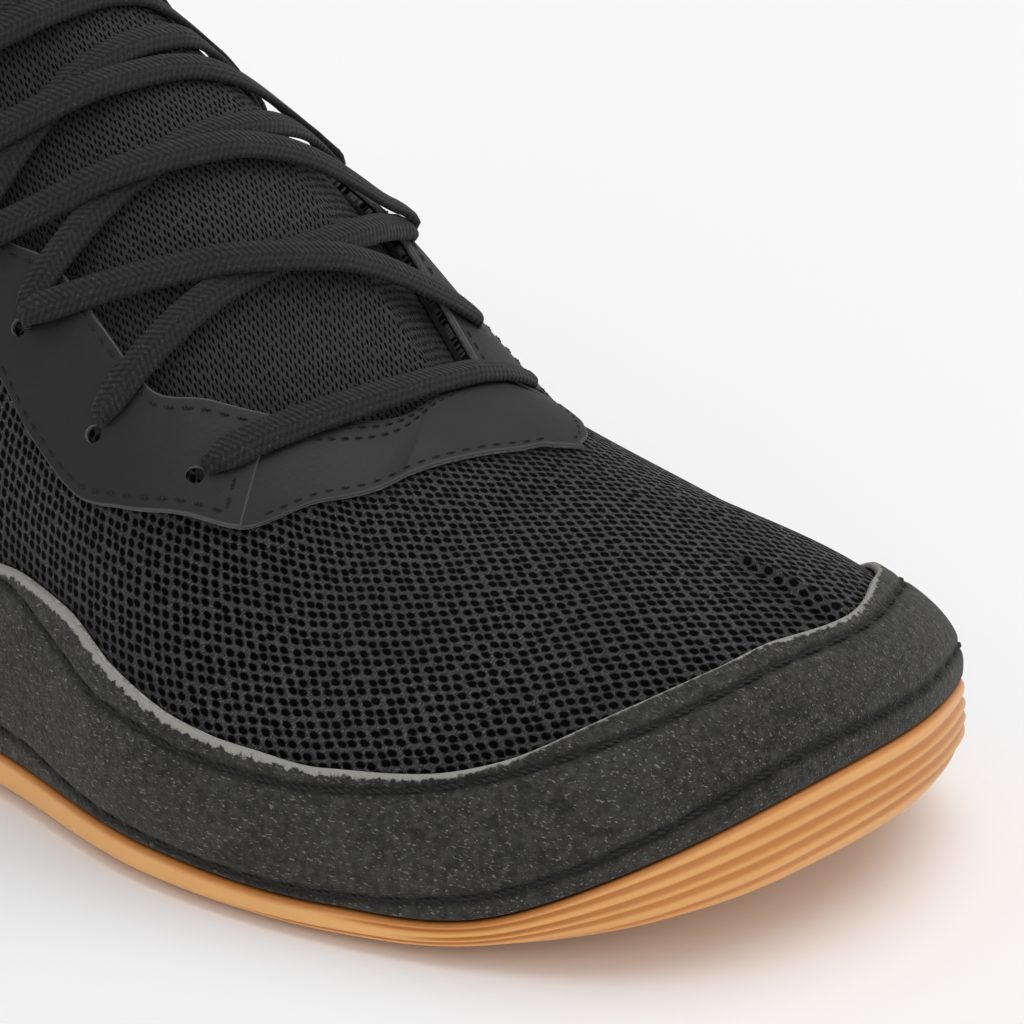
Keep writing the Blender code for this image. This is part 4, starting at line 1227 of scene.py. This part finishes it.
# share of the side's height, offset from the outline
SOLE_SIDE = (
    (0.000, -1.7),
    (0.050, -0.4),
    (0.120, 0.7),
    (0.300, 2.2),
    (0.450, 2.65),
    (0.660, 2.5),
    (0.860, 2.15),
    (0.950, 1.95),
    (1.000, 1.45),
)

# station where a groove starts, share of the side's height there, at its middle and at the toe tip
GROOVES = (
    (0.760, 0.80, 0.84, 0.80),
    (0.800, 0.56, 0.62, 0.66),
    (0.700, 0.36, 0.42, 0.52),
    (0.880, 0.16, 0.24, 0.38),
)


def groove_depth(station, share):
    """How deep the toe grooves are at a station and share of the side's height, 0 to 1."""
    near = 1.0 - np.abs(1.0 - np.mod(station, 2.0))
    deep = 0.0
    for start, low, middle, tip in GROOVES:
        run = np.clip((near - start) / (1.0 - start), 0.0, 1.0)
        line = (1 - run) ** 2 * low + 2 * run * (1 - run) * middle + run * run * tip
        fade = smooth(run, 0.0, 0.25)
        deep = np.maximum(deep, fade * np.exp(-((share - line) / GROOVE_WIDE) ** 2))
    return deep


def make_sole():
    stations = np.linspace(0.0, 2.0, SOLE_COLUMNS + 1)[:-1]
    foot = FOOT(stations)
    rim = foot[:, 2]
    table = np.array(SOLE_SIDE)
    share = 0.5 - 0.5 * np.cos(np.linspace(0.0, math.pi, SIDE_STEPS))
    share = 0.35 * share + 0.65 * np.linspace(0.0, 1.0, SIDE_STEPS)
    base_offset = np.interp(share, table[:, 0], table[:, 1])
    for _ in range(2):
        base_offset[1:-1] = 0.25 * base_offset[:-2] + 0.5 * base_offset[1:-1] + 0.25 * base_offset[2:]
    floor = sole_level(foot[:, 0], 1)
    rows = []
    groove = []
    gap = []
    for offset, lift in ((FLAT_IN, 0.0), (-6.5, 0.0), (-4.5, 0.04), (TURN_IN, TURN_LIFT)):
        place = outline_at(stations, np.full(len(stations), offset))
        rows.append(np.column_stack([place, sole_level(place[:, 0], 1) + lift]))
        groove.append(0.0 * stations)
        gap.append(0.0 * stations + 99.0)
    for s, offset in zip(share, base_offset):
        deep = groove_depth(stations, s)
        place = outline_at(stations, offset - GROOVE_DEEP * deep)
        start = np.minimum(floor + 0.35, rim)
        rows.append(np.column_stack([place, start + s * (rim - start)]))
        groove.append(deep)
        gap.append((1.0 - s) * (rim - start))
    for offset, drop in ((1.1, 0.0), (0.5, 0.1), (0.0, 0.3), (RIM_IN, 0.3)):
        place = outline_at(stations, np.full(len(stations), offset))
        rows.append(np.column_stack([place, rim - drop]))
        groove.append(0.0 * stations)
        gap.append(0.0 * stations)
    place = outline_at(stations, np.full(len(stations), PLATE_EDGE))
    rows.append(np.column_stack([place, np.minimum(sole_level(place[:, 0], 2), rim - PLATE_DROP)]))
    groove.append(0.0 * stations)
    gap.append(0.0 * stations + 99.0)
    points = np.stack(rows)
    count, wide = points.shape[:2]
    faces = [list(f) for f in grid_faces(count, wide, wrap=True)]
    half = wide // 2
    for c in range(half):
        left, left_next = c, c + 1
        right, right_next = (wide - c) % wide, wide - c - 1
        for row, flip in ((0, True), (count - 1, False)):
            loop = [row * wide + left, row * wide + left_next, row * wide + right_next, row * wide + right]
            loop = [p for i, p in enumerate(loop) if p not in loop[:i]]
            faces.append(loop[::-1] if flip else loop)
    layers = {"groove": np.stack(groove), "rim_gap": np.stack(gap)}
    return make_piece("outsole_gum", points.reshape(-1, 3), faces, [GUM], layers=layers)


def cut_slots(sole):
    points = []
    faces = []
    for x in SLOTS_FRONT + SLOTS_HEEL:
        near = np.linspace(0.0, 1.0, 201)
        here = near[np.abs(FOOT(near)[:, 0] - x) < SLOT_EDGE]
        lateral = FOOT(here)[:, 1].min()
        medial = FOOT(2.0 - here)[:, 1].max()
        first = len(points)
        for dx in (-0.5 * SLOT_WIDE, 0.5 * SLOT_WIDE):
            for y in (lateral + SLOT_EDGE, medial - SLOT_EDGE):
                for z in (-SLOT_DEEP, SLOT_DEEP):
                    points.append((x + dx, y, z))
        for face in ((0, 1, 3, 2), (4, 6, 7, 5), (0, 4, 5, 1), (2, 3, 7, 6), (0, 2, 6, 4), (1, 5, 7, 3)):
            faces.append([first + i for i in face])
    cutter = make_piece("slot_cutter", np.array(points), faces, [GUM])
    modifier = sole.modifiers.new("slots", "BOOLEAN")
    modifier.operation = "DIFFERENCE"
    modifier.solver = "EXACT"
    modifier.object = cutter
    graph = bpy.context.evaluated_depsgraph_get()
    cut = bpy.data.meshes.new_from_object(sole.evaluated_get(graph))
    sole.modifiers.clear()
    sole.data = cut
    bpy.data.objects.remove(cutter, do_unlink=True)


sole = make_sole()
cut_slots(sole)
keep(sole, ["outsole"])

# foot bed
BED_COLUMNS = 360
BED_ROWS = ((0.0, 0.0), (0.0, 2.0), (-0.35, 2.75), (-1.2, 3.0), (-3.0, 3.0), (-8.0, 2.9))


def make_bed():
    stations = np.linspace(0.0, 2.0, BED_COLUMNS + 1)[:-1]
    rows = []
    for inset, lift in BED_ROWS:
        place = outline_at(stations, np.full(len(stations), INSOLE_INSET + inset))
        edge = outline_at(stations, np.full(len(stations), INSOLE_INSET))
        rows.append(np.column_stack([place, sole_level(edge[:, 0], 2) + INSOLE_LIFT + lift]))
    points = np.stack(rows)
    count, wide = points.shape[:2]
    faces = [list(f) for f in grid_faces(count, wide, wrap=True)]
    for c in range(wide // 2):
        for row, flip in ((0, True), (count - 1, False)):
            loop = [row * wide + p for p in (c, c + 1, wide - c - 1, (wide - c) % wide)]
            loop = [p for i, p in enumerate(loop) if p not in loop[:i]]
            faces.append(loop[::-1] if flip else loop)
    return make_piece("insole_bed", points.reshape(-1, 3), faces, [FOAM])


bed = keep(make_bed(), ["insole"])

# laces: flat oval woven cord, pulled tight over what lies under it and dived into the eyelets
LACE_WIDE = 4.8
LACE_THICK = 1.35
LACE_SQUEEZED = 2.3
LACE_GAP = 0.12
LACE_ROUGH = 26
LACE_PARTS = 70
LACE_ROUNDS = 4
LACE_PULLS = 2
LACE_LEAN = 0.065
LACE_BOW = 0.018
LACE_BOW_MIDDLE = 0.6
LACE_SIDES = 16
LACE_DIVE = 3.4
LACE_DIVE_RUN = 2.6
LACE_SQUEEZE_RUN = 6.0
LACE_SEARCH = 7.0


def ground_tree(items):
    points = []
    faces = []
    for item in items:
        first = len(points)
        points += [vertex.co.copy() for vertex in item.data.vertices]
        faces += [[first + i for i in face.vertices] for face in item.data.polygons]
    return BVHTree.FromPolygons(points, faces)


def lifted_clear(path, across, lifted, half_wide, grounds):
    """How much each point of the path must rise to lie clear of the ground."""
    need = np.full(len(path), -1e9)
    for side in (-1.0, -0.6, 0.0, 0.6, 1.0):
        low = 0.5 * LACE_THICK * math.sqrt(max(1.0 - abs(side) ** 2.5, 0.0))
        start = path + (side * half_wide)[:, None] * across + (LACE_SEARCH - low) * lifted
        for ground in grounds:
            for i in range(len(path)):
                hit = ground.ray_cast(Vector(to_metres(start[i])), Vector(-lifted[i]), 2.0 * LACE_SEARCH * MM)
                if hit[0] is not None:
                    need[i] = max(need[i], LACE_SEARCH + LACE_GAP - hit[3] / MM)
    return need


def spread(path, count):
    """The same line with evenly spaced points."""
    along = arc(path)
    even = np.linspace(0.0, along[-1], count)
    return np.stack([np.interp(even, along, path[:, k]) for k in range(path.shape[1])], 1)


def tighten(path, out, width, grounds, rounds):
    """Pulls a lace's line tight while it stays clear of what lies under it."""
    for _ in range(rounds):
        for _ in range(LACE_PULLS):
            path[1:-1] += 0.5 * (0.5 * path[:-2] - path[1:-1] + 0.5 * path[2:])
        heading = unit(np.gradient(path, axis=0))
        across = unit(np.cross(out, heading))
        lifted = unit(np.cross(heading, across))
        need = lifted_clear(path, across, lifted, 0.5 * width, grounds)
        need[:1] = 0.0
        need[-1:] = 0.0
        path += np.maximum(need, 0.0)[:, None] * lifted
    return path, across, lifted


def lace(start, end, grounds, bow=0.0):
    middle = 0.5 * (start[0] + end[0]) + LACE_LEAN + LACE_BOW_MIDDLE * bow
    share = np.linspace(0.0, 1.0, 12)
    bent = bow * np.sin(math.pi * share)
    stations = np.concatenate([start[0] + share * (middle - start[0]) + bent,
                               2.0 - (middle + share[1:] * (end[0] - middle))])
    heights = np.concatenate([start[1] + share * (1.0 - start[1]), 1.0 + share[1:] * (end[1] - 1.0)])
    path, out = surface(stations, heights, FIT_GAP + EYESTAY_WALL + 0.5 * LACE_THICK + LACE_GAP)
    both = spread(np.concatenate([path, out], 1), LACE_ROUGH)
    path, out = both[:, :3], unit(both[:, 3:])
    path, _, _ = tighten(path, out, np.full(len(path), LACE_WIDE), grounds, LACE_ROUNDS)
    both = spread(np.concatenate([path, out], 1), LACE_PARTS)
    path, out = both[:, :3], unit(both[:, 3:])
    along = arc(path)
    ends = np.minimum(along, along[-1] - along)
    width = LACE_SQUEEZED + (LACE_WIDE - LACE_SQUEEZED) * smooth(ends, 0.6, LACE_SQUEEZE_RUN)
    path, across, lifted = tighten(path, out, width, grounds, 3)
    path = path - (LACE_DIVE * (1.0 - smooth(ends, 0.0, LACE_DIVE_RUN)))[:, None] * out
    thick = LACE_THICK + 0.5 * (1.0 - smooth(ends, 0.6, LACE_SQUEEZE_RUN))
    return tube("lace", path, across, lifted, width, thick, LACE_SIDES, LACE, power=0.8)


def outer_eyelet(k):
    return EYELETS[k][0], EYELETS[k][1]


def inner_eyelet(k):
    return EYELETS[k][2], EYELETS[k][3]


def make_laces(under):
    """The lowest lace runs straight across; above it each pair crosses, the one that falls inward on top."""
    ground = ground_tree(under)
    low = [lace(outer_eyelet(0), inner_eyelet(0), [ground])]
    for k in range(1, len(EYELETS) - 1):
        low.append(lace(outer_eyelet(k), inner_eyelet(k + 1), [ground]))
    first = tubes_piece("laces_woven_under", low, LACE)
    both = ground_tree([first])
    high = [lace(outer_eyelet(k + 1), inner_eyelet(k), [ground, both], LACE_BOW) for k in range(1, len(EYELETS) - 1)]
    second = tubes_piece("laces_woven_over", high, LACE)
    return first, second


laces_under, laces_over = make_laces([tongue, lateral, medial, PIECES["throat_band_skin"]])
keep(laces_under, ["laces"])
keep(laces_over, [])

# sewing: bent two-ply stitches along rows of places on the form
PLIES = 2
PLY_SIDES = 6
STITCH_PARTS = 12


def stitch_row(stations, heights, offset, pitch, gap, radius, rise, dip, turns=1.5):
    """Tubes of one row of stitches."""
    centre, out = surface(stations, heights, offset)
    along = arc(centre)
    count = max(int(along[-1] / pitch), 1)
    share = np.linspace(0.0, 1.0, STITCH_PARTS)
    parts = []
    for k in range(count):
        at = (k + 0.5 * gap + share * (1.0 - gap)) * along[-1] / count
        path = np.stack([np.interp(at, along, centre[:, i]) for i in range(3)], 1)
        up = unit(np.stack([np.interp(at, along, out[:, i]) for i in range(3)], 1))
        heading = unit(np.gradient(path, axis=0))
        side = unit(np.cross(up, heading))
        bow = np.sin(math.pi * share)
        path = path + (rise * np.sqrt(bow) - dip * (1.0 - np.sqrt(bow)))[:, None] * up
        for ply in range(PLIES):
            angle = 2.0 * math.pi * (turns * share + ply / PLIES)
            strand = path + 0.55 * radius * (np.cos(angle)[:, None] * side + np.sin(angle)[:, None] * up)
            parts.append(tube("ply", strand, side, up, 1.25 * radius, 1.25 * radius, PLY_SIDES, THREAD))
    return parts


RAND_SEW = FIT_GAP + PANEL_WALL - SEAM_DEEP
SEW_COUNT = 400


def rand_stitches():
    stations = np.linspace(RAND_END + 0.004, 1.996 - RAND_END, SEW_COUNT)
    seams = SEAMS(stations)
    parts = []
    for k in range(2):
        parts += stitch_row(stations, seams[:, k], RAND_SEW, 5.0, 0.10, 0.38, 0.10, 0.60, 2.0)
    return tubes_piece("rand_stitches", parts, THREAD)


def stay_rows(first, last, side):
    """Rows of places along a stay's outer edge, its front end and its throat edge."""
    inset = 1.7
    stations = np.linspace(first, last, SEW_COUNT)
    if side:
        stations = 2.0 - stations
    lines = PANEL(stations)
    low = line_height(stations, lines[:, 1], inset)
    high = line_height(stations, lines[:, 2], -inset)
    share = np.linspace(0.0, 1.0, 60)
    end = stations[-1]
    front = low[-1] + share * (high[-1] - low[-1])
    return [(stations, low), (0.0 * share + end, front), (stations, high)]


def stay_stitches():
    parts = []
    top = FIT_GAP + EYESTAY_WALL
    for side in (False, True):
        front = STAY_FRONT_INNER if side else STAY_FRONT
        for stations, heights in stay_rows(STAY_TOP + 0.008, front - 0.008, side):
            parts += stitch_row(stations, heights, top - 0.06, 2.4, 0.28, 0.24, 0.10, 0.35)
    return tubes_piece("eyestay_stitches", parts, THREAD)


def band_stitches():
    parts = []
    top = FIT_GAP + BAND_WALL
    for side in (False, True):
        back = BAND_BACK_INNER if side else BAND_BACK
        stations = np.linspace(back + 0.010, 0.788, SEW_COUNT)
        over = np.linspace(back + 0.010, BAND_FRONT - 0.006, SEW_COUNT)
        if side:
            stations = 2.0 - stations
            over = 2.0 - over
        lines = PANEL(stations)
        for inset in (-1.3, -3.3):
            heights = line_height(stations, lines[:, 2], inset)
            parts += stitch_row(stations, heights, top - 0.05, 1.9, 0.30, 0.22, 0.10, 0.3)
        heights = np.minimum(line_height(over, band_low(over, side), 1.4), 1.0)
        parts += stitch_row(over, heights, top - 0.05, 2.2, 0.34, 0.20, 0.06, 0.3)
    return tubes_piece("throat_band_stitches", parts, THREAD)


def counter_stitches():
    stations = np.linspace(-COUNTER_END + 0.006, COUNTER_END - 0.006, SEW_COUNT)
    heights = line_height(stations, PANEL(stations)[:, 0], -1.8)
    parts = stitch_row(stations, heights, FIT_GAP + PANEL_WALL - 0.06, 2.6, 0.28, 0.24, 0.10, 0.35)
    return tubes_piece("heel_counter_stitches", parts, THREAD)


keep(rand_stitches(), [])
keep(stay_stitches(), [])
keep(band_stitches(), [])
keep(counter_stitches(), [])

# floor, light and camera
FLOOR_HALF = 3.0
CAMERA_TURN = math.radians(35.3)
CAMERA_RISE = math.radians(21.6)
CAMERA_ROLL = math.radians(0.6)
CAMERA_AWAY = 0.415
CAMERA_LENS = 100.4
LOOK_AT = (0.06178, 0.02316, 0.0315)


def make_floor():
    corners = [(-FLOOR_HALF, -FLOOR_HALF), (FLOOR_HALF, -FLOOR_HALF), (FLOOR_HALF, FLOOR_HALF),
               (-FLOOR_HALF, FLOOR_HALF)]
    mesh = bpy.data.meshes.new("floor")
    mesh.from_pydata([(x, y, -1e-5) for x, y in corners], [], [(0, 1, 2, 3)])
    finish = Finish("floor_white", Base_Color=(0.925, 0.925, 0.935), Roughness=0.6, Specular_IOR_Level=0.1)
    mesh.materials.append(finish.material)
    floor = bpy.data.objects.new("floor", mesh)
    bpy.context.scene.collection.objects.link(floor)


def make_sun(name, towards, wide, power):
    """A broad soft light from a direction; the angle it fills is in degrees."""
    data = bpy.data.lights.new(name, "SUN")
    data.angle = math.radians(wide)
    data.energy = power
    item = bpy.data.objects.new(name, data)
    item.rotation_mode = "QUATERNION"
    item.rotation_quaternion = Vector(towards).to_track_quat("Z", "Y")
    bpy.context.scene.collection.objects.link(item)


def make_world():
    world = bpy.data.worlds.new("studio")
    world.use_nodes = True
    back = world.node_tree.nodes["Background"]
    back.inputs["Color"].default_value = (1.0, 1.0, 1.0, 1.0)
    back.inputs["Strength"].default_value = 0.615
    bpy.context.scene.world = world


def make_camera():
    a, e, roll = CAMERA_TURN, CAMERA_RISE, CAMERA_ROLL
    back = Vector((math.sin(a) * math.cos(e), -math.cos(a) * math.cos(e), math.sin(e)))
    level = Vector((math.cos(a), math.sin(a), 0.0))
    up = back.cross(level)
    right = math.cos(roll) * level + math.sin(roll) * up
    above = math.cos(roll) * up - math.sin(roll) * level
    data = bpy.data.cameras.new("camera")
    data.sensor_width = 36.0
    data.lens = CAMERA_LENS
    data.clip_start = 0.01
    data.clip_end = 20.0
    camera = bpy.data.objects.new("camera", data)
    place = Vector(LOOK_AT) + CAMERA_AWAY * back
    turn = Matrix((right, above, back)).transposed().to_4x4()
    camera.matrix_world = Matrix.Translation(place) @ turn
    bpy.context.scene.collection.objects.link(camera)
    bpy.context.scene.camera = camera


make_floor()
make_world()
make_sun("key", (0.15, 0.25, 0.95), 55.0, 1.18)
make_sun("fill", (0.55, -0.80, 0.50), 70.0, 0.50)
make_camera()
bpy.context.scene.view_settings.view_transform = "Standard"
